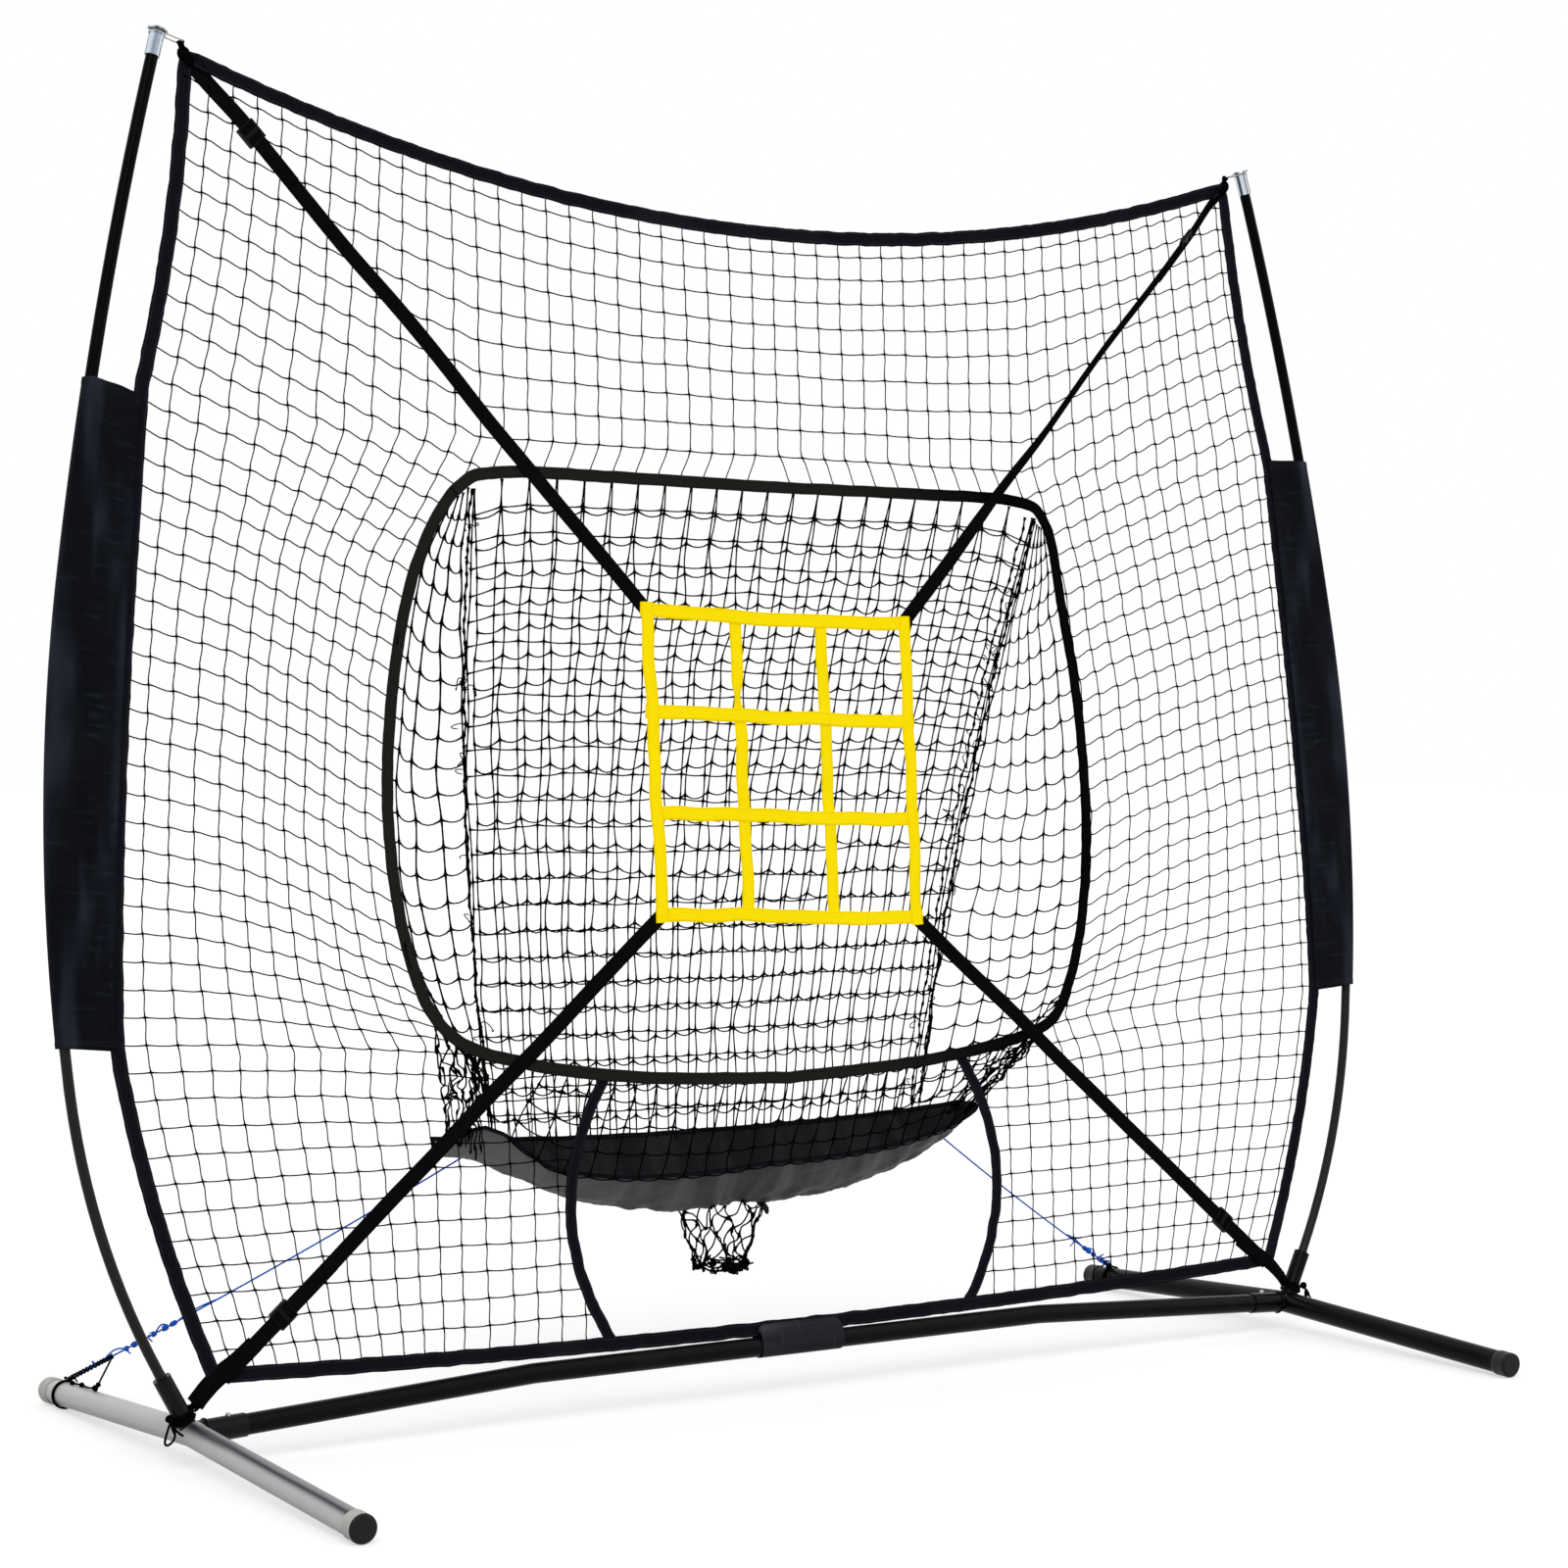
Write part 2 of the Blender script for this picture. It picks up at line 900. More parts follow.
def lay_grime(g: Graph, given: dict) -> dict:
    """Dust in soft patches, and fine scratches; see lay_weave for what goes in and out.

    Args:
        g: graph inside the group.
        given: the group's inputs by name.

    Returns:
        The group's outputs by name.
    """
    low = 0.95 - given["Cover"]
    broad = g.noise(given["Place"], given["Size"], 5.0)
    fine = g.noise(g.scaled(given["Place"], (90.0, 14.0, 400.0)), 1.0, 6.0)
    dust = g.between(broad, low, low + 0.25, "LINEAR")
    return {"Dust": dust, "Scratch": g.between(fine, 0.64, 0.72)}


WEAVE = Effect("weave", {"Lengths": None, "Across": 0.001, "Along": 0.001}, lay_weave)
TWIST = Effect(
    "twist", {"Lengths": None, "Girth": 0.006, "Pitch": 0.006, "Strands": 3.0}, lay_twist
)
STITCH = Effect(
    "stitch",
    {"Across": 0.0, "Along": 0.0, "Line": 0.007, "Pitch": 0.0035, "Thread": 0.0007},
    lay_stitch,
)
GRIME = Effect("grime", {"Place": None, "Size": 8.0, "Cover": 0.4}, lay_grime)


class Surface(Graph):
    """A material's tree round one Principled shader."""

    def __init__(self, tree: bpy.types.NodeTree, finish: "Finish") -> None:
        """Lays out the shader with the finish's plain values.

        Args:
            tree: node tree of the material.
            finish: the finish it shows.
        """
        super().__init__(tree)
        values = {"Roughness": finish.roughness, "Specular IOR Level": finish.gloss}
        self.shader = self.node("ShaderNodeBsdfPrincipled", values)
        self.node("ShaderNodeOutputMaterial", {0: Term(self, self.shader.outputs[0])})
        self.colour = finish.colour

    @property
    def lengths(self) -> Term:
        """Texture lengths of a piece, in metres."""
        return self.term("ShaderNodeTexCoord", output="UV")

    @property
    def place(self) -> Term:
        """Place in the frame, in metres."""
        return self.term("ShaderNodeTexCoord", output="Object")

    def give(self, **values: Given) -> None:
        """Sets or connects inputs of the shader; underscores stand for spaces."""
        self.fill(self.shader, {key.replace("_", " "): value for key, value in values.items()})

    def paint(self, share: Term, colour: tuple) -> None:
        """Lays a share of a colour over the present one."""
        self.colour = self.blend(share, self.colour, colour)

    def grime(self, size: float, cover: float) -> tuple:
        """Dust and scratches."""
        return tuple(self.use(GRIME, {"Place": self.place, "Size": size, "Cover": cover}).values())

    def bump(self, height: Term, depth: float) -> None:
        """Raises the surface by a height of at most depth metres."""
        values = {"Height": height, "Distance": depth, "Strength": 1.0}
        self.give(Normal=self.term("ShaderNodeBump", values))


@dataclass(frozen=True)
class Finish:
    """A named material; subclasses say how its surface is made."""

    name: str
    colour: tuple
    roughness: float = 0.5
    gloss: float = 0.0

    def material(self) -> bpy.types.Material:
        """The material, built at its first use.

        Returns:
            The same material each time.
        """
        if self.name not in MADE:
            made = MADE[self.name] = bpy.data.materials.new(self.name)
            made.use_nodes = True
            made.node_tree.nodes.clear()
            surface = Surface(made.node_tree, self)
            self.dress(surface)
            self.age(surface)
            surface.give(Base_Color=surface.colour)
        return MADE[self.name]

    def dress(self, surface: Surface) -> None:
        """Adds the finish's own effects."""

    def age(self, surface: Surface) -> None:
        """Changes the dressed surface as years of use do."""


@dataclass(frozen=True)
class CoatedSteel(Finish):
    """Powder coat: fine orange peel, dust and rubbed spots."""

    rubbed: tuple = (0.08, 0.08, 0.085, 1.0)
    cover: float = 0.38

    def dress(self, surface: Surface) -> None:
        """Orange peel in the bump, dust and scratches in colour and gloss.

        Args:
            surface: the material's tree.
        """
        dust, scratch = surface.grime(9.0, self.cover)
        surface.paint(dust * 0.55, self.rubbed)
        surface.paint(scratch * 0.35, self.rubbed)
        surface.give(Roughness=dust * 0.22 + self.roughness)
        surface.bump(surface.noise(surface.place, 900.0, 2.0), 0.00012)


@dataclass(frozen=True)
class GreyFoot(CoatedSteel):
    """Grey foot with a dark rubbed streak, and a black socket and stub welded on."""

    under: tuple = tone(96, 96, 100)
    crown: tuple = tone(92, 94, 102)
    streak: tuple = tone(18, 20, 32)
    welded: tuple = tone(13, 13, 14)

    def dress(self, surface: Surface) -> None:
        """Black outside the left foot's tube, and a streak along its front upper half.

        Args:
            surface: the material's tree.
        """
        super().dress(surface)
        x, y, z = surface.split(surface.place)
        up = z - (FOOT.height * MM - abs(y) * (FOOT.drop / FOOT.half))
        out = (x + FOOT.x * MM) * -1.0
        far = surface.math("SQRT", up**2.0 + out**2.0)
        angle = surface.math("ARCTAN2", out, up)
        drift = surface.noise(surface.place, 7.0, 2.0) * 0.16 + 0.42
        width = surface.between(y, -0.22, -0.02) * 0.3 + 0.24
        core = surface.math("POWER", math.e, ((angle - drift) / width) ** 2.0 * -1.0)
        surface.paint(surface.between(angle, 1.6, 2.3) * 0.4, self.under)
        crown = surface.between(angle, 1.25, 0.35) * surface.between(y, 0.01, -0.03)
        surface.paint(crown * 0.62, self.crown)
        surface.paint(core * surface.between(y, 0.012, -0.02) * 0.93, self.streak)
        edge = (FOOT.radius + 0.6) * MM, (FOOT.radius + 1.4) * MM
        surface.paint(surface.between(far, *edge), self.welded)


@dataclass(frozen=True)
class FootCap(Finish):
    """Dull rubber cap with a black end face behind a collar of its own colour."""

    scuff: tuple = tone(96, 94, 90)
    end: tuple = tone(10, 10, 11)

    def dress(self, surface: Surface) -> None:
        """Fine pores, pale scuffs and the black end.

        Args:
            surface: the material's tree.
        """
        dust, _ = surface.grime(30.0, 0.35)
        surface.paint(dust * 0.3, self.scuff)
        _, y, _ = surface.split(surface.place)
        surface.paint(surface.between(abs(y), 0.5555, 0.5565), self.end)
        surface.bump(surface.noise(surface.place, 1400.0, 2.0), 0.00015)


@dataclass(frozen=True)
class BrightMetal(Finish):
    """Plated metal with a faint brushed grain."""

    grain: float = 0.1
    gloss: float = 0.5

    def dress(self, surface: Surface) -> None:
        """Uneven gloss and fine lines.

        Args:
            surface: the material's tree.
        """
        dust, scratch = surface.grime(40.0, 0.42)
        surface.give(Metallic=1.0, Roughness=dust * self.grain + self.roughness)
        surface.bump(scratch, 0.00002)


@dataclass(frozen=True)
class DrawnChrome(BrightMetal):
    """Bright plating on a drawn tube, with soft darker bands along its length."""

    dark: tuple = (0.08, 0.1, 0.13, 1.0)
    hub: tuple = (1.62914, -0.00341)
    slopes: tuple = (0.2639, 0.0682)

    def dress(self, surface: Surface) -> None:
        """Bands round the leaning axis of the pole's tip.

        Args:
            surface: the material's tree.
        """
        super().dress(surface)
        x, y, z = surface.split(surface.place)
        side = abs(x) + z * self.slopes[0] - self.hub[0]
        back = y - z * self.slopes[1] - self.hub[1]
        angle = surface.math("ARCTAN2", back, side)
        bands = (angle * 4.0 + 0.6).sine() * 0.36 + (angle * 7.0 + 2.0).sine() * 0.3
        surface.paint(surface.between(bands, -0.25, 0.4), self.dark)


@dataclass(frozen=True)
class Woven(Finish):
    """Woven tape or cloth, with stitch rows, that may have faded towards one end."""

    worn: tuple = (0.05, 0.05, 0.05, 1.0)
    across: float = 0.0012
    along: float = 0.0018
    depth: float = 0.0005
    rows: tuple = ()
    thread: tuple = (0.009, 0.009, 0.01, 1.0)
    glow: float = 0.0
    rows_run_across: bool = False
    faded: tuple = (0.1, 0.1, 0.1, 1.0)
    span: tuple = (0.5, 0.1)
    fading: float = 0.0

    def dress(self, surface: Surface) -> None:
        """Threads, worn patches and stitches.

        Args:
            surface: the material's tree.
        """
        height, shade = self.threads(surface)
        dust, _ = surface.grime(6.0, 0.42)
        surface.paint(shade * 0.8, self.worn)
        surface.paint(dust * 0.25, self.thread)
        u, v, _ = surface.split(surface.lengths)
        across, along = (v, u) if self.rows_run_across else (abs(u), v)
        for row in self.rows:
            mask = surface.use(STITCH, {"Across": across, "Along": along, "Line": row})["Mask"]
            surface.paint(mask, self.thread)
            height = height + mask * 1.6
        surface.give(Emission_Color=self.colour, Emission_Strength=self.glow)
        surface.bump(height, self.depth)

    def threads(self, surface: Surface) -> tuple:
        """Height and shade of the weave."""
        values = {"Lengths": surface.lengths, "Across": self.across, "Along": self.along}
        return tuple(surface.use(WEAVE, values).values())

    def age(self, surface: Surface) -> None:
        """Fades the colour along x.

        Args:
            surface: the material's tree.
        """
        if self.fading:
            x, _, _ = surface.split(surface.place)
            surface.paint(surface.between(x, *self.span) * self.fading, self.faded)


@dataclass(frozen=True)
class CoatedCloth(Woven):
    """Close nylon cloth with a coating: fine weave, creases and a soft gloss."""

    crease: float = 0.0012
    lit: tuple = (0.02, 0.022, 0.026, 1.0)

    def dress(self, surface: Surface) -> None:
        """Fine threads over soft creases.

        Args:
            surface: the material's tree.
        """
        super().dress(surface)
        lengths = surface.lengths
        fold = surface.noise(lengths, 38.0, 4.0)
        broad = surface.noise(surface.scaled(lengths, (20.0, 3.6, 1.0)), 1.0, 2.0, 0.35)
        wrinkle = surface.noise(surface.scaled(lengths, (16.0, 95.0, 1.0)), 1.0, 3.0)
        line = surface.between(wrinkle, 0.55, 0.75)
        surface.paint(surface.between(broad, 0.42, 0.78), self.lit)
        surface.paint(line * 0.35, self.lit)
        fine, _ = self.threads(surface)
        surface.bump(fine * 0.06 + fold + line * 0.25, self.crease)
        surface.give(Roughness=fold * 0.12 + self.roughness)


@dataclass(frozen=True)
class Corded(Finish):
    """Twisted twine or braided cord."""

    shade: tuple = (0.02, 0.02, 0.02, 1.0)
    girth: float = 0.0072
    pitch: float = 0.006
    strands: float = 2.0
    depth: float = 0.0003

    def dress(self, surface: Surface) -> None:
        """Strands round the cord and fluff in its colour.

        Args:
            surface: the material's tree.
        """
        values = {"Girth": self.girth, "Pitch": self.pitch, "Strands": self.strands}
        laid = surface.use(TWIST, {"Lengths": surface.lengths, **values})["Height"]
        share = laid * 0.6 + surface.noise(surface.place, 60.0) * 0.4
        surface.colour = surface.blend(share, self.shade, self.colour)
        surface.bump(laid, self.depth)


BLACK_COAT = CoatedSteel(
    "black_powder_coat", tone(11, 11, 12), 0.2, gloss=0.05, rubbed=tone(30, 30, 33)
)
GREY_COAT = GreyFoot(
    "grey_powder_coat", tone(188, 187, 186), 0.3, gloss=0.1, rubbed=tone(180, 179, 178)
)
CAP_GREY = FootCap("cap_grey", tone(176, 174, 171), 0.5, gloss=0.2)
CAP_BLACK = FootCap("cap_black", tone(34, 34, 31), 0.34, gloss=0.16)
POLE_COAT = CoatedSteel("pole_black", tone(4, 4, 5), 0.18, gloss=0.03, rubbed=tone(20, 20, 22))
GLASS_ROD = CoatedSteel(
    "glossy_rod", tone(28, 27, 24), 0.26, gloss=0.12, rubbed=tone(52, 50, 46), cover=0.3
)
CHROME = DrawnChrome("chrome", (0.6, 0.66, 0.72, 1.0), 0.2)
WIRE = BrightMetal("plated_wire", (0.36, 0.31, 0.26, 1.0), 0.32, grain=0.2)
SPRING = BrightMetal("button_steel", (0.5, 0.5, 0.5, 1.0), 0.28)
SLIDER = CoatedSteel(
    "moulded_slider", tone(11, 11, 12), 0.4, gloss=0.06, rubbed=tone(34, 34, 34), cover=0.3
)
HEM_TAPE = Woven(
    "hem_tape",
    tone(12, 13, 17),
    0.85,
    worn=tone(33, 35, 43),
    rows=(0.0082,),
    thread=tone(52, 53, 58),
)
MOUTH_TAPE = Woven(
    "mouth_tape",
    tone(7, 7, 7),
    0.82,
    worn=tone(19, 19, 18),
    rows=(0.0066,),
    thread=tone(2, 2, 2),
    faded=tone(43, 42, 39),
    fading=0.8,
)
STRAP_WEB = Woven(
    "strap_webbing",
    tone(9, 9, 10),
    0.72,
    worn=tone(21, 21, 23),
    across=0.0022,
    along=0.0011,
    depth=0.0006,
)
ZONE_WEB = Woven(
    "zone_webbing",
    tone(255, 224, 8),
    0.7,
    worn=tone(255, 233, 14),
    across=0.0021,
    along=0.0013,
    rows=(0.0095,),
    thread=tone(244, 204, 4),
    glow=0.24,
)
SLEEVE_CLOTH = CoatedCloth(
    "sleeve_cloth",
    tone(4, 5, 9),
    gloss=0.035,
    lit=tone(44, 48, 60),
    worn=tone(15, 19, 27),
    across=0.0007,
    along=0.0007,
    crease=0.0034,
    thread=tone(30, 32, 38),
    rows=(0.008, 0.0125),
    rows_run_across=True,
)
WRAP_CLOTH = CoatedCloth(
    "wrap_cloth",
    tone(20, 21, 26),
    gloss=0.05,
    lit=tone(62, 64, 70),
    worn=tone(38, 40, 46),
    across=0.0008,
    along=0.0008,
    crease=0.001,
    thread=tone(44, 44, 47),
    rows=(0.008,),
)
TRAY_INSIDE = CoatedCloth(
    "tray_inside",
    tone(20, 20, 21),
    0.6,
    gloss=0.02,
    lit=tone(44, 44, 45),
    worn=tone(34, 34, 35),
    across=0.0008,
    along=0.0008,
    crease=0.002,
)
TRAY_OUTSIDE = CoatedCloth(
    "tray_outside",
    tone(50, 50, 52),
    0.42,
    gloss=0.16,
    lit=tone(100, 100, 100),
    worn=tone(70, 70, 72),
    across=0.0008,
    along=0.0008,
    crease=0.0026,
    thread=tone(64, 64, 65),
    faded=tone(132, 132, 134),
    span=(-0.1, -0.52),
    fading=0.75,
)
NET_TWINE = Corded("net_twine", tone(15, 15, 16), 0.7, shade=tone(4, 4, 5))
POCKET_TWINE = Corded("pocket_twine", tone(14, 14, 14), 0.75, shade=tone(4, 4, 4))
ELASTIC = Corded(
    "elastic_cord",
    tone(13, 13, 14),
    0.8,
    shade=tone(6, 6, 7),
    girth=0.0157,
    pitch=0.004,
    strands=8.0,
)
TIE_CORD = Corded(
    "tie_cord",
    tone(11, 11, 12),
    0.85,
    shade=tone(5, 5, 6),
    girth=0.0126,
    pitch=0.004,
    strands=6.0,
)
BLUE_CORD = Corded(
    "blue_cord",
    tone(48, 122, 240),
    0.7,
    shade=tone(20, 66, 178),
    girth=0.0094,
    pitch=0.005,
    strands=6.0,
)


# ---------------------------------------------------------------------- studio


@dataclass
class Studio:
    """Camera, plain lamps, white surroundings and floor."""

    eye: tuple = (-3.0343, -4.4852, 1.0656)
    yaw: float = math.radians(33.78)
    pitch: float = math.radians(-0.731)
    roll: float = math.radians(0.26)
    lens: float = 75.82
    sensor: float = 36.0
    sight: float = 200.0
    soft_light: float = 0.62
    floor_reach: float = 60.0
    floor_grey: float = 0.5
    floor_lift: float = 0.56

    def put(self, name: str, data: bpy.types.ID, turn: Matrix = Matrix()) -> bpy.types.Object:
        """An object in the scene.

        Args:
            name: its name.
            data: its lamp or camera.
            turn: its place.

        Returns:
            The object.
        """
        made = bpy.data.objects.new(name, data)
        made.matrix_world = turn
        bpy.context.scene.collection.objects.link(made)
        return made

    def camera(self) -> None:
        """The camera in front and to the left of the net."""
        level = np.array([math.cos(self.yaw), -math.sin(self.yaw), 0.0])
        flat = np.array([math.sin(self.yaw), math.cos(self.yaw), 0.0])
        ahead = flat * math.cos(self.pitch) + (0.0, 0.0, math.sin(self.pitch))
        above = np.cross(level, ahead)
        right = level * math.cos(self.roll) + above * math.sin(self.roll)
        up = above * math.cos(self.roll) - level * math.sin(self.roll)
        data = bpy.data.cameras.new("camera")
        data.lens, data.sensor_width, data.clip_end = self.lens, self.sensor, self.sight
        turn = Matrix([right, up, -ahead]).transposed().to_4x4()
        made = self.put("camera", data, Matrix.Translation(self.eye) @ turn)
        bpy.context.scene.camera = made

    def seen_by_eye(self, graph: Graph) -> Term:
        """One where a ray comes from the camera, a mirror or glass.

        Args:
            graph: the world's graph.

        Returns:
            One or zero.
        """
        path = graph.node("ShaderNodeLightPath").outputs
        eye, mirror, glass = (
            Term(graph, path[f"Is {kind} Ray"]) for kind in ("Camera", "Glossy", "Transmission")
        )
        return graph.math("MAXIMUM", graph.math("MAXIMUM", eye, mirror), glass)

    def surroundings(self) -> None:
        """White surroundings with a plain level of light."""
        world = bpy.context.scene.world = bpy.data.worlds.new("surroundings")
        world.use_nodes = True
        world.node_tree.nodes.clear()
        graph = Graph(world.node_tree)
        soft, white = (
            graph.term("ShaderNodeBackground", {"Color": (1, 1, 1, 1), "Strength": strength})
            for strength in (self.soft_light, 1.0)
        )
        both = {0: self.seen_by_eye(graph), 1: soft, 2: white}
        graph.node("ShaderNodeOutputWorld", {0: graph.term("ShaderNodeMixShader", both)})

    def lamps(self) -> None:
        """Two broad lamps from the front, one from behind."""
        for name, strength, width, aim in (
            ("key", 1.15, 0.7, (0.55, 0.9, -1.1)),
            ("fill", 0.55, 1.0, (-0.9, 0.6, -0.7)),
            ("rim", 0.35, 1.0, (0.3, -0.9, -0.8)),
        ):
            data = bpy.data.lights.new(name, "SUN")
            data.energy, data.angle = strength, width
            ahead = -unit(np.array(aim))
            side = unit(np.cross((0.0, 0.0, 1.0), ahead))
            turn = Matrix([side, np.cross(ahead, side), ahead]).transposed().to_4x4()
            self.put(name, data, turn)

    def floor(self) -> None:
        """A white floor that keeps the object's shadow."""
        mesh = bpy.data.meshes.new("floor")
        reach, grey = self.floor_reach, self.floor_grey
        corners = [(x * reach, y * reach, 0.0) for x, y in ((-1, -1), (1, -1), (1, 1), (-1, 1))]
        mesh.from_pydata(corners, [], [(0, 1, 2, 3)])
        material = bpy.data.materials.new("floor_white")
        material.use_nodes = True
        material.node_tree.nodes.clear()
        graph = Graph(material.node_tree)
        matt = graph.term("ShaderNodeBsdfDiffuse", {"Color": (grey, grey, grey, 1)})
        lift = self.seen_by_eye(graph) * self.floor_lift
        glow = graph.term("ShaderNodeEmission", {"Color": (1, 1, 1, 1), "Strength": lift})
        both = graph.term("ShaderNodeAddShader", {0: matt, 1: glow})
        graph.node("ShaderNodeOutputMaterial", {0: both})
        mesh.materials.append(material)
        self.put("floor", mesh)

    def build(self) -> None:
        """Makes everything round the object."""
        bpy.context.scene.view_settings.view_transform = "Standard"
        for part in (self.camera, self.surroundings, self.lamps, self.floor):
            part()


# ------------------------------------------------------------------- guy cords


@dataclass
class GuyCords:
    """Taut blue cords from the pocket's low back corners to the feet."""

    top: tuple = (428.0, 277.6, 408.6)
    foot_y: float = 494.0
    inset: float = 8.0
    thick: float = 3.0
    tie: float = 4.0
    gap: float = 0.3
    sag: float = 8.0
    steps: int = 24
    strand_r: float = 1.4
    knot_r: float = 3.0
    lay: float = 2.9
    starts: tuple = (98.0, 16.0)

    @property
    def tie_r(self) -> float:
        """Radius of the tie's centre line round the foot."""
        return FOOT.radius + self.gap + self.tie / 2

    def route(self) -> Array:
        """Works out the centre line of the right cord.

        Returns:
            Its points, from the pocket to the foot.
        """
        rise = self.tie_r + self.tie / 2 + self.thick / 2
        end = FOOT.axis(self.foot_y) + (-self.inset, 0.0, rise)
        t = shares(self.steps + 1)
        line = mix(np.array(self.top), end, t)
        line[:, 2:] -= self.sag * arc(t)
        return line

    def knots(self, route: Array, start: float) -> Shape:
        """Wound knots near the foot, with doubled strands and loose tails.

        Args:
            route: the cord's centre line.
            start: distance of the first knot from the foot.

        Returns:
            The knots.
        """
        length = run_length(route)[-1]
        way = unit(route[-1] - route[0])
        across = unit(np.cross(way, (0.0, 0.0, 1.0)))
        above = np.cross(across, way)
        parts = []

        def on(distance: float) -> Array:
            """Point at a distance from the first knot."""
            return point_at(route, length - start - distance)

        places, counts = (0, 14, 23, 48, 68, 83), (2.4, 3.2, 2.0, 2.6, 3.4, 4.0)
        sizes = (11, 12, 14, 11, 12, 10)
        for k, (distance, turns, grow) in enumerate(zip(places, counts, sizes)):
            t = shares(int(turns * 12))
            angle = 2 * math.pi * turns * t + k
            r = self.knot_r * grow / 10 * (0.75 + 0.4 * hump(t))
            coil = on(distance) + way * (t - 0.5) * turns * self.lay
            coil = coil + r * (across * np.cos(angle) + above * np.sin(angle))
            parts.append(cord(coil, self.strand_r))
        t = shares(40)
        first = -min(start, 38.0)
        for near, far, rise, over in ((first, -2, 7, 3), (90, 160, 3.4, -1), (52, 74, 7, 5)):
            strand = mix(on(near), on(far), t) + above * rise * hump(t) ** 0.7
            parts.append(cord(strand + across * over * sway(t), self.strand_r))
        for place, reach, fall in ((48, 9, -9), (148, 15, -6), (142, -8, 12), (104, 10, 9)):
            tail = point_at(route, length - place) + across * reach * t
            tail = tail + way * 6 * np.sin(2.5 * t)
            tail = tail + above * (4 * hump(t) - fall * t**1.6)
            parts.append(cord(tail, 1.3))
        return Shape.joined(parts)

    def tie_loop(self, reach: float) -> Shape:
        """Black loop wound round the foot, with a knot on top.

        Args:
            reach: how far its doubled end runs up the blue cord.

        Returns:
            The loop.
        """
        centre, slope = FOOT.axis(self.foot_y), FOOT.slope
        along = np.array([0.0, math.cos(slope), -math.sin(slope)])
        up = np.array([0.0, math.sin(slope), math.cos(slope)])
        side = np.array([1.0, 0.0, 0.0])
        t = shares(97)
        coil = centre + self.tie_r * (side * sway(2 * t) + up * np.cos(4 * math.pi * t))
        parts = [cord(coil + along * (t - 0.5) * 5.0, self.tie / 2, 8)]
        s = shares(30)
        top = centre + up * (self.tie_r + 2.6) - side * 6
        bow = top + side * 6 * np.cos(2 * math.pi * s) + along * 5 * sway(s)
        parts.append(cord(bow + up * 2.4 * sway(2 * s), 1.8))
        for k in (-1, 1):
            tail = top + along * k * (4 + 13 * s) - side * (2 + 6 * s)
            parts.append(cord(tail + up * (3 * np.sin(3 * s) - 5 * s * s), 1.5))
        route = self.route()
        length = run_length(route)[-1]
        marks = (1.0, 0.84, 0.65, 0.4, 0.19, 0.03)
        at = np.array([point_at(route, length - reach * mark) for mark in marks])
        s = shares(81)
        for phase in (0.0, math.pi):
            wrap = smooth_curve(at, 16)
            out, over = cross_ways(wrap, np.array([0.0, 0.0, 1.0]))
            turn = 2 * math.pi * 7 * s + phase
            wrap = wrap + self.lay * (out * np.cos(turn) + over * np.sin(turn))
            parts.append(cord(wrap, 1.7))
        if reach > 40.0:
            back, over = (4, 34, 66, 98, 126, 139), (-2, 1, -1.5, 1.5, 0, 1)
            rises = self.tie_r + 0.4 + np.array([1, 0.4, 0.4, 0.6, 2.5, 9])
            lie = [centre + up * u + side * x - along * a for a, x, u in zip(back, over, rises)]
            parts.append(cord(smooth_curve(np.array([*lie, at[0]]), 12), 1.6))
            for k, size in ((1, 3.2), (2, 3.6), (4, 4.6), (5, 3.4)):
                parts.append(Tapes.wound(lie[k], (size, size * 1.3, size * 0.9), 1.3, 5, k))
        return Shape.joined(parts)

    def build(self) -> None:
        """Makes the cords, their knots and the loops round the feet."""
        for side, start in zip(Side, self.starts):
            route = self.route() * (side.value, 1, 1)
            word, line = side.word, cord(route, self.thick / 2, 10)
            name, node = f"blue_cord_{word}", f"guy_cord_{word}"
            piece = add_piece(name, line, BLUE_CORD, [node])
            shape = self.knots(self.route(), start).on(side)
            knots = add_piece(f"blue_knots_{word}", shape, BLUE_CORD)
            tuple(route[0] * MM)
            (route * MM).tolist()
        loops = Shape.joined([self.tie_loop(20.0), self.tie_loop(74.0).mirrored()])
        add_piece("foot_tie_loops", loops, TIE_CORD, ["guy_ties"])


# -------------------------------------------------------------------- hardware


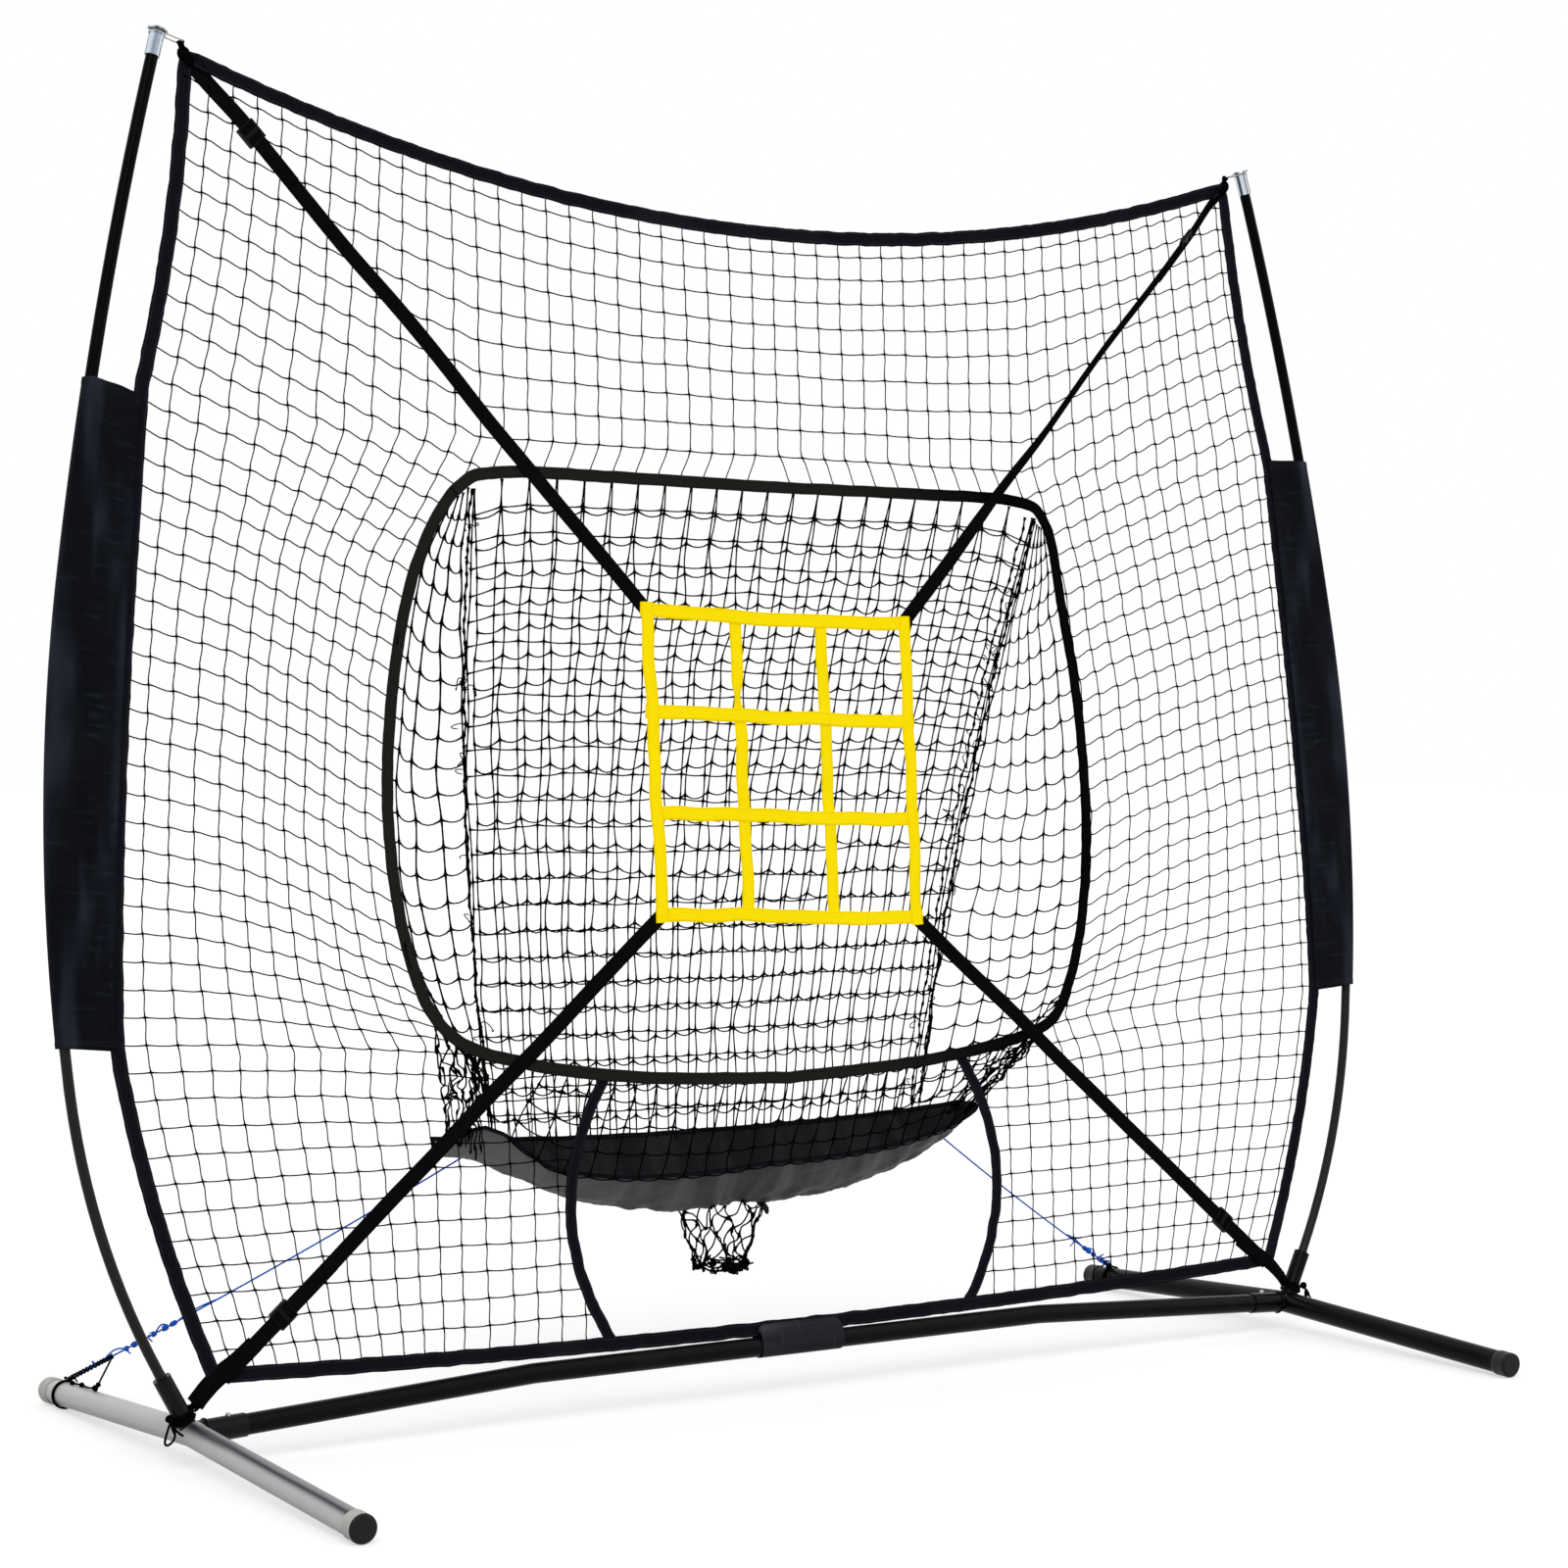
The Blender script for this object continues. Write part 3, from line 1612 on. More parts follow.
@dataclass
class Hardware:
    """Rigid parts: tubes, caps, poles, ferrules, links, buttons and sliders."""

    finishes: dict = field(
        default_factory=lambda: {
            "foot_left": GREY_COAT,
            "foot_right": BLACK_COAT,
            "crossbar_left": BLACK_COAT,
            "crossbar_right": BLACK_COAT,
            "crossbar_coupler": BLACK_COAT,
            "snap_button_": SPRING,
            "button_spring_": SPRING,
            "lower_pole_": GLASS_ROD,
            "upper_pole_": POLE_COAT,
            "tip_ferrule_": CHROME,
            "corner_link_": WIRE,
            "slider_": SLIDER,
        }
    )
    stub_rise: float = math.radians(3.0075)
    cap_length: float = 30.0
    cap_r: float = 20.9
    sharp: float = math.radians(32)

    def weld(self, centre: Array, axis: Array, radius: float, seed: int) -> Shape:
        """A rippled weld bead round a joint.

        Args:
            centre: middle of the ring.
            axis: direction through the ring.
            radius: radius of the bead's centre line.
            seed: number that fixes its unevenness.

        Returns:
            The bead.
        """
        axis = unit(axis)
        side = unit(np.cross(axis, (0.0, 1.0, 0.0)))
        other = np.cross(axis, side)
        turn = np.linspace(0.0, 2.0 * math.pi, 121)[:, None]
        ring = centre + radius * (side * np.cos(turn) + other * np.sin(turn))
        size = 1.9 + 0.35 * np.sin(turn[:, 0] * 38) + 0.25 * np.sin(turn[:, 0] * (3 + seed))
        return tube(ring, size, 8)

    def cap(self, way: int) -> Shape:
        """A right foot cap, with a rounded edge and shallow rings on its collar.

        Args:
            way: -1 for the front cap, 1 for the rear one.

        Returns:
            The cap.
        """
        collar = np.array([0, 0.6, 2, 6, 9, 10, 11, 13, 14, 15, 17, 18, 19])
        cuts = np.array([-1.4, -0.5, 0, 0, 0, -0.5, 0, 0, -0.5, 0, 0, -0.5, 0])
        s = np.append(collar, self.cap_length + np.array([-3.6, -1.8, -0.6, -0.1, 0, 0.05]))
        r = self.cap_r + np.append(cuts, [0, -0.5, -1.7, -3.2, -6, -20.85])
        along = np.array([0.0, way * math.cos(FOOT.slope), -math.sin(FOOT.slope)])
        path = FOOT.axis(way * FOOT.half) + along * (s - self.cap_length)[:, None]
        return tube(path, r, 44, np.array([1.0, 0.0, 0.0]))

    def build(self) -> None:
        """Finishes the frame's own rigid nodes and adds the caps and welds."""
        for name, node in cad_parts.items():
            for start, finish in self.finishes.items():
                if name.startswith(start):
                    mesh = node.data
                    mesh.materials.clear()
                    mesh.materials.append(finish.material())
                    mesh.polygons.foreach_set("use_smooth", np.ones(len(mesh.polygons), bool))
                    mesh.set_sharp_from_angle(angle=self.sharp)
                    LOG.info("%s: %s", name, finish.name)
        socket = PANEL.way(math.sin(POLE.socket_angle), math.cos(POLE.socket_angle))
        foot = PANEL.place(FOOT.x, 0.0, 0.0)
        stub = np.array([-math.cos(self.stub_rise), 0.0, math.sin(self.stub_rise)])
        for side in Side:
            finish = CAP_GREY if side is Side.LEFT else CAP_BLACK
            for way, word in ((-1, "front"), (1, "rear")):
                name, shape = f"foot_cap_{side.word}_{word}", self.cap(way).on(side)
                add_piece(f"rubber_{name}", shape, finish, [name])
            beads = [
                self.weld(foot + socket * 21.5, socket, 14.6, 3),
                self.weld(foot + stub * 20.5, stub, 18.4, 4),
            ]
            welds = Shape.joined(beads).on(side)
            add_piece(f"foot_welds_{side.word}", welds, BLACK_COAT)


# ------------------------------------------------------------------------- net


@dataclass
class FlatNet:
    """The knotted net between hems, pocket mouth and arch."""

    cell: float = 45.0
    rows: int = 48
    row_step: float = 41.25
    row_start: float = 0.72
    across_r: float = 1.12
    down_r: float = 1.02
    knot_r: float = 2.2
    behind: float = 2.2
    droop: float = 1.3
    fold: tuple = (480.0, 545.0, 590.0, 680.0, 780.0, 900.0, 1120.0, 1290.0, 1380.0, 1500.0)
    fold_x: tuple = (615.0, 590.0, 615.0, 650.0, 672.0, 684.0, 668.0, 630.0, 590.0, 540.0)

    def column_x(self, i: Array, v: Array) -> Array:
        """Distance across of the right half's columns.

        Args:
            i: numbers of the columns, from the middle outwards.
            v: heights.

        Returns:
            One distance for each.
        """
        inner = np.interp(v, self.fold, self.fold_x)
        outer = inner + (i - 11.5) / 12.0 * (OUTLINE.side(v) - inner)
        return np.where(i >= 11.5, outer, inner - (11.5 - i) * self.cell)

    def row_v(self, j: Array, x: Array) -> Array:
        """Height of the rows.

        Args:
            j: numbers of the rows, from the top downwards.
            x: distances from the middle.

        Returns:
            One height for each.
        """
        h = OUTLINE.corner_top - self.row_step * (j + self.row_start)
        heights = (370.0, 498.0, 582.0, 741.0, 870.0, 1300.0, 1640.0, 2045.0)
        lean = np.interp(h, heights, (0.0, 0.0, 0.02, 0.08, 0.13, 0.24, 0.33, 0.33))
        bend = np.interp(h, heights, (0.02, 0.08, 0.08, 0.22, 0.25, 0.14, 0.05, 0.0))
        near = np.maximum(x, 540.0)
        span = OUTLINE.side(h) - near
        drop = lean * span + bend * span * span / 900.0

        def hem_drop(at: Array) -> Array:
            """Sag of the top hem."""
            return OUTLINE.top_sag * (1 - (at / OUTLINE.corner_x) ** 2)

        like_hem = ease((h - 1631.0) / 414.0)
        drop = mix(drop, hem_drop(near), like_hem)
        return h - drop - like_hem * (hem_drop(np.minimum(x, 540.0)) - hem_drop(540.0))

    def at(self, column: Array, row: Array) -> tuple:
        """Place on the panel of a fractional column and row.

        Args:
            column: from -24 to 24, where whole numbers and a half are strands.
            row: from 0 at the top, where whole numbers are strands.

        Returns:
            x and v.
        """
        i, sign = np.abs(column) - 0.5, np.where(column < 0, -1.0, 1.0)
        i = i - np.where(column < 0, 0.5, 0.1) * np.clip(i / 12.0, 0.0, 1.0)
        v = OUTLINE.corner_top - self.row_step * (row + self.row_start)
        x = self.column_x(i, v)
        for _ in range(8):
            v = self.row_v(row, x)
            x = self.column_x(i, v)
        return sign * x, v

    def region(self, x: Array, v: Array) -> Array:
        """Finds the net piece at each place.

        Args:
            x: distances across.
            v: heights.

        Returns:
            0 for none, 1 for the top, 2 for a side and 3 for a bottom piece.
        """
        crease = np.interp(np.abs(x), (600.0, 1170.0), (547.0, 582.0))
        part = np.where(v < crease, 3, np.where((np.abs(x) < 540.0) & (v > 1300), 1, 2))
        return np.where(OUTLINE.open_net(x, v), part, 0)

    def strand(self, column: Array, row: Array, radius: float, level: bool) -> list:
        """Tubes of one strand, one for each stretch in each net piece.

        Args:
            column: the samples' columns.
            row: the samples' rows.
            radius: radius of the twine.
            level: whether the strand runs across.

        Returns:
            Pairs of region number with side, and shape.
        """
        x, v = self.at(column, row)
        share = (column - 0.5) % 1.0 if level else row % 1.0
        if level:
            fall = np.gradient(v, column)
            v = v + (ease(share) - share) * fall * 1.5 - self.droop * arc(share)
        else:
            x = x + 0.9 * sway(share)
        spot = np.stack([x, v], -1)
        x = x + 1.5 * ripple(spot, 150.0, 11)
        v = v + 1.5 * ripple(spot, 150.0, 12)
        inward = ease((OUTLINE.side(v) - np.abs(x)) / 60)
        w = OUTLINE.depth(x, v) + (self.behind + 1.4 * ripple(spot, 190.0, 13)) * inward
        w = w + (0.5 if level else -0.5)
        near = np.minimum(share, 1 - share) * self.cell
        r = radius + (self.knot_r - radius) * bell(near, 2.4)
        part = self.region(x, v) * np.where(x < 0, -1, 1)
        found, start = [], 0
        for stop in range(1, len(part) + 1):
            if stop < len(part) and part[stop] == part[start]:
                continue
            if part[start] != 0:
                a, b = start, stop
                pts = np.stack([x, v, w, r], -1)[a:b]
                if a > 0:
                    pts = np.vstack([self.edge(x, v, w, r, a, a - 1), pts])
                if b < len(part):
                    pts = np.vstack([pts, self.edge(x, v, w, r, b - 1, b)])
                path = pulled(PANEL.place(pts[:, 0], pts[:, 2], pts[:, 1]))
                if len(path) > 2 and run_length(path)[-1] > 6.0:
                    found.append((int(part[start]), tube(path, pts[:, 3], 5, PANEL.front)))
            start = stop
        return found

    def edge(self, x: Array, v: Array, w: Array, r: Array, inner: int, outer: int) -> Array:
        """Finds the last point of a strand that ends between two samples.

        Args:
            x: the samples' distances across.
            v: their heights.
            w: their distances behind the panel.
            r: their radii.
            inner: number of the last sample inside.
            outer: number of the next one.

        Returns:
            One row of x, v, w and r.
        """
        a, b = (np.array([c[k] for c in (x, v, w, r)]) for k in (inner, outer))
        if OUTLINE.open_net(b[:1], b[1:2])[0]:
            return b[None]
        low, high = 0.0, 1.0
        for _ in range(9):
            middle = (low + high) / 2
            p = mix(a, b, middle)
            low, high = (middle, high) if OUTLINE.open_net(p[:1], p[1:2])[0] else (low, middle)
        return mix(a, b, low)[None]

    def build(self) -> None:
        """Makes the five net pieces."""
        steps = np.array([0.0, 0.06, 0.25, 0.5, 0.75, 0.94])
        found: dict = {}
        rows = (np.arange(-1, self.rows + 1)[:, None] + steps).ravel()
        columns = (np.arange(-25, 25)[:, None] + 0.5 + steps).ravel()
        for k in range(-24, 24):
            for part, shape in self.strand(np.full(len(rows), k + 0.5), rows, self.down_r, False):
                found.setdefault(part, []).append(shape)
        for j in range(-1, self.rows + 1):
            for half in (columns[columns <= 0], columns[columns >= 0]):
                level = np.full(len(half), float(j))
                for part, shape in self.strand(half, level, self.across_r, True):
                    found.setdefault(part, []).append(shape)
        top = [*found.get(1, []), *found.get(-1, [])]
        add_piece("knotted_net_top", Shape.joined(top), NET_TWINE, ["net_top"])
        for side in Side:
            for part, word, node in ((2, "side", "net"), (3, "low", "net_bottom")):
                name, shape = f"knotted_net_{word}", Shape.joined(found[part * side.value])
                nodes = [f"{node}_{side.word}"]
                add_piece(f"{name}_{side.word}", shape, NET_TWINE, nodes)


# ----------------------------------------------------------------------- tapes


@dataclass
class Tapes:
    """Sewn tapes: hems, pocket mouth, arch bands, corner patches and ties."""

    width: float = 20.0
    hem_width: float = 23.5
    thick: float = 3.6

    def puckered(self, path: Array, seed: int, amount: float = 1.0) -> tuple:
        """A path and width factors with the sewing's small pulls.

        Args:
            path: centre line.
            seed: number that fixes the pulls.
            amount: how strong they are.

        Returns:
            The new path and one width factor for each point.
        """
        d = run_length(path)[:, None]
        out, up = cross_ways(path, PANEL.front)
        path = path + out * (ripple(d, 55.0, seed) * 0.7 * amount)[:, None]
        path = path + up * (ripple(d, 34.0, seed + 1) * 0.7 * amount)[:, None]
        return path, 1.0 + 0.035 * amount * ripple(d, 28.0, seed + 2)

    def hem(self, x: Array, v: Array, seed: int, w: Number = 0.0, size: Number = 1.0) -> Shape:
        """One hem tape along a line of the panel.

        Args:
            x: the line's distances across.
            v: its heights.
            seed: number that fixes the sewing's pulls.
            w: its distances behind the panel.
            size: factors on its width.

        Returns:
            The tape.
        """
        path, pulls = self.puckered(PANEL.place(x, w, v), seed)
        profile = tape_profile(self.hem_width, self.thick, 0.35)
        return band(path, profile, pulls * size)

    @staticmethod
    def wound(centre: Array, spread: tuple, radius: float, turns: float, seed: int) -> Shape:
        """A tight lump of wound cord.

        Args:
            centre: its middle.
            spread: its half-lengths along x, y and z.
            radius: radius of the cord.
            turns: how many times the cord goes round.
            seed: number that fixes the winding.

        Returns:
            The lump.
        """
        t = np.linspace(0.0, 1.0, int(turns * 14))
        a, b = 2 * math.pi * turns * t, 2 * math.pi * turns * 0.38 * t + seed
        ball = np.stack([np.cos(a) * np.cos(b), np.cos(a) * np.sin(b), np.sin(a)], -1)
        path = centre + ball * np.array(spread) * (0.8 + 0.2 * np.sin(7 * t + seed))[:, None]
        return cord(path, radius)

    def mouth(self) -> Shape:
        """Tape round the pocket mouth.

        Returns:
            A closed ring.
        """
        line = OUTLINE.mouth(14)
        line = np.vstack([line, line[:1]])
        path = pulled(PANEL.along(line, OUTLINE.depth(*line.T) - 1.6))
        path, size = self.puckered(path, 31, 0.7)
        path[-1], size[-1] = path[0], size[0]
        return band(path, tape_profile(self.width, 4.4, 0.4), size)

    def overlap(self) -> Shape:
        """The tape's lapped end at the mouth's upper left corner."""
        line = (OUTLINE.mouth(14) * (-1, 1))[36:45]
        path = pulled(PANEL.along(line, -4.3))
        return band(path, tape_profile(self.width * 0.94, 1.4))

    def top_corner(self, seed: int) -> Shape:
        """Knotted cord at the right top corner, with the loop that holds the link's bar.

        Args:
            seed: number that fixes the knots and loose threads.

        Returns:
            The knots, loop and threads.
        """
        bar, root = np.array([1033.1, 2065.0]), np.array([1028.0, 2049.0])
        t = shares(40)
        away = unit(bar - root)
        side = np.array([-away[1], away[0]])
        turn = 1.15 * math.pi + 2 * math.pi * 0.82 * t
        ring = bar - 2.6 * away * np.cos(turn)
        w = -2.6 * np.sin(turn)
        line = np.vstack([mix(root, ring[0], t[:12])[:-1], ring, mix(ring[-1], root, t[:12])[1:]])
        ends = np.linspace(-2.6, float(w[0, 0]), 11), np.linspace(float(w[-1, 0]), 2.4, 11)
        path = PANEL.place(line[:, 0], np.concatenate([ends[0], w[:, 0], ends[1]]), line[:, 1])
        way = unit(np.gradient(path, axis=0))
        up = unit(np.cross(way, PANEL.way(*side)))
        knot, under = PANEL.place(1029.0, -0.6, 2048.0), PANEL.place(1021.0, -2.6, 2036.0)
        parts = [
            sweep(path, tape_profile(10.6, 1.3), np.cross(up, way), up, flat=True),
            self.wound(knot, (9.0, 4.6, 9.5), 2.2, 11, seed),
            self.wound(under, (6.5, 3.0, 7.0), 1.7, 8, seed + 1),
        ]
        rng = np.random.default_rng(seed)
        for k in range(7):
            base = PANEL.place(1018.0 - 5.0 * k, -3.6, 2040.0 - 2.2 * k)
            s = shares(16)
            reach = unit(rng.normal(size=3) * (1.0, 0.5, 1.0)) * rng.uniform(5, 11)
            curl = unit(rng.normal(size=3)) * rng.uniform(2, 5)
            thread = base + reach * hump(0.8 * s) + curl * sway(s)
            parts.append(cord(thread, 0.55, 5))
        return Shape.joined(parts)

    def bottom_corner(self, seed: int) -> Shape:
        """Folded webbing that runs on from the net's corner to the pole socket.

        Args:
            seed: number that fixes its waves.

        Returns:
            Four layers.
        """
        knots = [(968, 121), (996, 99), (1020, 84), (1041, 68), (1056, 53), (1066, 42)]
        line = smooth_curve(np.array(knots, float), 9)
        share = np.linspace(0.0, 1.0, len(line))
        size = mix(1.0, 0.8, ease(share * 1.3 - 0.3))
        parts = []
        for k, w in enumerate((-6.6, -4.2, 2.9, 4.8)):
            drift = 0.9 * ripple(line, 34.0, seed + k) * share
            lean = ((k - 1.5) * 1.7 * share)[:, None]
            path = PANEL.along(line + lean, w * mix(1.0, 0.72, share) + drift)
            parts.append(band(path, tape_profile(24.5, 1.8), size))
        return Shape.joined(parts)

    def tie(self, seed: int) -> Shape:
        """Elastic loops round the pole socket, with knots, a hanging loop and tails.

        Args:
            seed: number that fixes the knots.

        Returns:
            All of it.
        """
        angle, ring_r = POLE.socket_angle, 16.8
        axis = PANEL.way(math.sin(angle), math.cos(angle))
        side = PANEL.way(-math.cos(angle), math.sin(angle))
        front, down = PANEL.front, np.array([0.0, 0.0, -1.0])
        centre = PANEL.place(FOOT.x, 0, 0) + axis * 31.0
        t = shares(150)
        turn = 6 * math.pi * t + 0.4
        reach = ring_r + 0.9 * np.sin(turn * 0.7)
        coil = centre + reach * (side * np.cos(turn) + front * np.sin(turn))
        parts = [cord(coil + axis * (t - 0.5) * 12.0, 2.4, 8)]
        hold = PANEL.place(1058.0, -3.0, 49.0)
        s = shares(24)
        start = centre + side * ring_r
        for lift, spread in ((-5.0, 6.0), (4.0, -5.0), (0.0, 1.0)):
            line = mix(start + front * spread + axis * lift * 0.5, hold + front * spread * 0.7, s)
            line = line + axis * lift * hump(s) * 0.6
            parts.append(cord(line, 2.3, 8))
        parts.append(self.wound(mix(start, hold, 0.5) + front * 3.0, (5.0, 6.0, 6.0), 2.1, 6, seed))
        outer = centre - side * 21.0 + front * 9.0 + axis * 7.0
        parts.append(self.wound(outer + axis * 3.0, (6.0, 5.0, 5.0), 2.0, 5, seed + 1))
        loop = outer - side * (3.0 + 5.0 * hump(s)) + front * (4.0 + 9.0 * hump(s))
        loop = loop + down * 28.0 * hump(s) ** 0.8 + side * 9.0 * sway(s)
        parts.append(cord(loop, 1.9, 7))
        for fall, out, over in ((29.0, 15.0, 15.0), (22.0, 8.0, 4.0), (10.0, 4.0, -9.0)):
            tail = outer + front * (3.0 + out * np.sin(1.5 * s)) - side * 3.0 * np.sin(3 * s)
            tail = tail + down * fall * s**1.2 + side * over * s**1.6
            parts.append(cord(tail, 1.9, 7))
        return Shape.joined(parts)

    def build(self) -> None:
        """Makes all sewn tapes."""
        x = np.linspace(-1031.0, 1031.0, 190)
        near = np.abs(x)
        narrow = 1 - 0.3 * ease((near - 1000) / 31)
        top = self.hem(x, OUTLINE.top(x), 41, -1.3 * ease((near - 900) / 100), narrow)
        add_piece("top_hem_tape", top, HEM_TAPE, ["hem_top"])
        x = x[::-1] * OUTLINE.corner_x / 1031.0
        low = self.hem(x, OUTLINE.bottom(x), 42)
        add_piece("bottom_hem_tape", low, HEM_TAPE, ["hem_bottom"])
        v = np.linspace(78.0, 2051.0, 190)
        t = np.linspace(0.0, 1.0, 54)
        for side in Side:
            word = side.word
            seed = 50 + side.value
            narrow = 1 - 0.3 * ease((v - 2015) / 36)
            hem = self.hem(OUTLINE.side(v), v, seed, 1.5 * ease((v - 1950) / 80), narrow).on(side)
            add_piece(f"side_hem_tape_{word}", hem, HEM_TAPE, [f"hem_{word}"])
            line = OUTLINE.arch(t)
            tuck = 2.2 * (ease((0.06 - t) / 0.06) + ease((t - 0.95) / 0.05))
            arch = self.hem(line[:, 0], line[:, 1], seed + 9, tuck, 20.0 / self.hem_width).on(side)
            add_piece(f"arch_tape_{word}", arch, HEM_TAPE, [f"arch_band_{word}"])
            knot, tab = self.top_corner(seed + 20).on(side), [f"corner_tab_{word}"]
            add_piece(f"top_corner_knot_{word}", knot, TIE_CORD, tab)
            fold = self.bottom_corner(seed + 30).on(side)
            add_piece(f"corner_webbing_{word}", fold, STRAP_WEB)
            tie, node = self.tie(seed + 40).on(side), [f"corner_tie_{word}"]
            add_piece(f"elastic_tie_{word}", tie, ELASTIC, node)
        add_piece("mouth_tape", self.mouth(), MOUTH_TAPE, ["pocket_binding"])
        add_piece("mouth_tape_lap", self.overlap(), MOUTH_TAPE)


# ----------------------------------------------------------------- strike zone


@dataclass
class StrikeZone:
    """Yellow webbing with nine windows and its four corner straps."""

    band: float = 23.0
    strap_w: float = 25.0
    thick: float = 1.7
    low: tuple = ((-240.0, 737.0), (266.0, 721.0))
    high: tuple = ((-252.0, 1232.0), (260.0, 1221.0))
    doubled: float = 244.0

    def grid(self, a: Number, b: Number) -> Array:
        """Place in x and v at shares a across and b down.

        Args:
            a: shares across.
            b: shares down.

        Returns:
            One row of x and v for each.
        """
        (lx0, lv0), (lx1, lv1) = self.low
        (hx0, hv0), (hx1, hv1) = self.high
        x = mix(mix(hx0, hx1, a), mix(lx0, lx1, a), b)
        v = mix(mix(hv0, hv1, a), mix(lv0, lv1, a), b)
        v = v - 5.0 * hump(a) * (1 - b) ** 2 + 2.0 * sway(a) * b
        return np.stack([x, v], -1)

    def web(self, a: Array, b: Array, w: float, seed: int, twist: float = 0.0) -> Shape:
        """One band of the grid.

        Args:
            a: shares across along its centre line.
            b: shares down along its centre line.
            w: distance of its middle behind the panel.
            seed: number that fixes its waves.
            twist: where along it the band is rolled narrow, or 0.

        Returns:
            The band.
        """
        line = self.grid(a, b)
        d = run_length(line)[:, None]
        line = line + np.stack([ripple(d, 170.0, seed), ripple(d, 150.0, seed + 1)], -1) * 1.6
        path = PANEL.along(line, w + 0.8 * ripple(d, 120.0, seed + 2))
        size = 1.0 + 0.02 * ripple(d, 90.0, seed + 3)
        if twist:
            share = d[:, 0] / d[-1, 0]
            size = size * (1 - 0.5 * bell(share - twist, 0.035))
        return band(path, tape_profile(self.band, self.thick), size)

    def strap_line(self, up: bool) -> tuple:
        """Start and end of the right corner strap, in x and v."""
        start = (1021.0, 2040.0) if up else (1022.0, 76.0)
        return np.array(start), np.array((254.5, 1228.0 if up else 726.0))

    def strap(self, side: Side, up: bool, seed: int) -> Shape:
        """A corner strap: one long layer, and a second one near the corner.

        Args:
            side: left or right.
            up: whether it is a top strap.
            seed: number that fixes its waves.

        Returns:
            Both layers.
        """
        start, _ = self.strap_line(up)
        share = (0.0 if side is Side.LEFT else 1.0, 0.0 if up else 1.0)
        end = self.grid(*share) * (side.value, 1)
        t = shares(160)
        line = mix(start, end, t)
        d = run_length(line)
        wave = ripple(d[:, None], 420.0, seed) * hump(t[:, 0])
        way = unit(end - start)
        line = line + np.stack([-way[1] * wave, way[0] * wave], -1) * 2.2
        w = -5.0 + 1.2 * ripple(d[:, None], 260.0, seed + 1) * hump(t[:, 0])
        w = w + (8.2 * ease((125.0 - d) / 95.0) if up else 0.0)
        path = PANEL.along(line, w)
        out, face = cross_ways(path, PANEL.front)
        turn = self.roll(d)[:, None] if up and side is Side.RIGHT else np.zeros((len(d), 1))
        c, s = np.cos(turn), np.sin(turn)
        out, face = out * c + face * s, face * c - out * s
        parts = [sweep(path, tape_profile(self.strap_w, self.thick), out, face, flat=True)]
        n = int(np.searchsorted(d, self.doubled))
        over = path[:n] + face[:n] * (self.thick + 0.15)
        profile = tape_profile(self.strap_w * 0.985, self.thick)
        parts.append(sweep(over, profile, out[:n], face[:n], flat=True))
        return Shape.joined(parts).on(side)

    @staticmethod
    def roll(d: Array) -> Array:
        """Roll of the strap that has turned about its own length, in radians.

        Args:
            d: distances from the corner.

        Returns:
            One angle for each distance.
        """
        marks = (0.0, 35.0, 420.0, 640.0, 800.0, 960.0, 2000.0)
        degrees = (-14.0, -40.0, -42.0, -40.0, -26.0, 0.0, 0.0)
        return np.radians(np.interp(d, marks, degrees))

    def turned_slider(self) -> None:
        """The slider of the rolled strap, turned with it about the strap's line."""
        start, end = self.strap_line(True)
        way = unit(PANEL.place(end[0], 0.0, end[1]) - PANEL.place(start[0], 0.0, start[1]))
        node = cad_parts["slider_top_right"]
        mesh = node.data.copy()
        mesh.transform(node.matrix_world)
        points = np.array([point.co for point in mesh.vertices])
        middle = Matrix.Translation((points.min(axis=0) + points.max(axis=0)) / 2)
        turn = Matrix.Rotation(float(self.roll(np.array([180.0]))[0]) - 0.17, 4, way.tolist())
        mesh.transform(middle @ turn @ middle.inverted())
        made = bpy.data.objects.new("three_bar_slider_top_right", mesh)
        bpy.context.scene.collection.objects.link(made)
        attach(made, "slider_top_right_body")
        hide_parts("slider_top_right")
        LOG.info("%s: %d faces", made.name, len(mesh.polygons))

    def build(self) -> None:
        """Makes the webbing grid and the straps."""
        self.turned_slider()
        t = np.linspace(0.0, 1.0, 110)
        ends = np.linspace(-0.024, 1.024, 110)
        parts = []
        for k in range(4):
            parts.append(self.web(ends, np.full(110, k / 3.0), -7.2, 60 + 7 * k))
            rolled = 0.27 if k == 1 else 0.0
            v, w = (t, -5.6) if k in (1, 2) else (ends, -8.8)
            parts.append(self.web(np.full(110, k / 3.0), v, w, 90 + 7 * k, rolled))
        shape = Shape.joined(parts)
        add_piece("yellow_webbing", shape, ZONE_WEB, ["strike_zone"])
        for side in Side:
            for up, word in ((True, "top"), (False, "bottom")):
                name = f"strap_{word}_{side.word}"
                shape = self.strap(side, up, 120 + 3 * side.value + up)
                add_piece(f"corner_{name}", shape, STRAP_WEB, [name])


# ---------------------------------------------------------------------- pocket


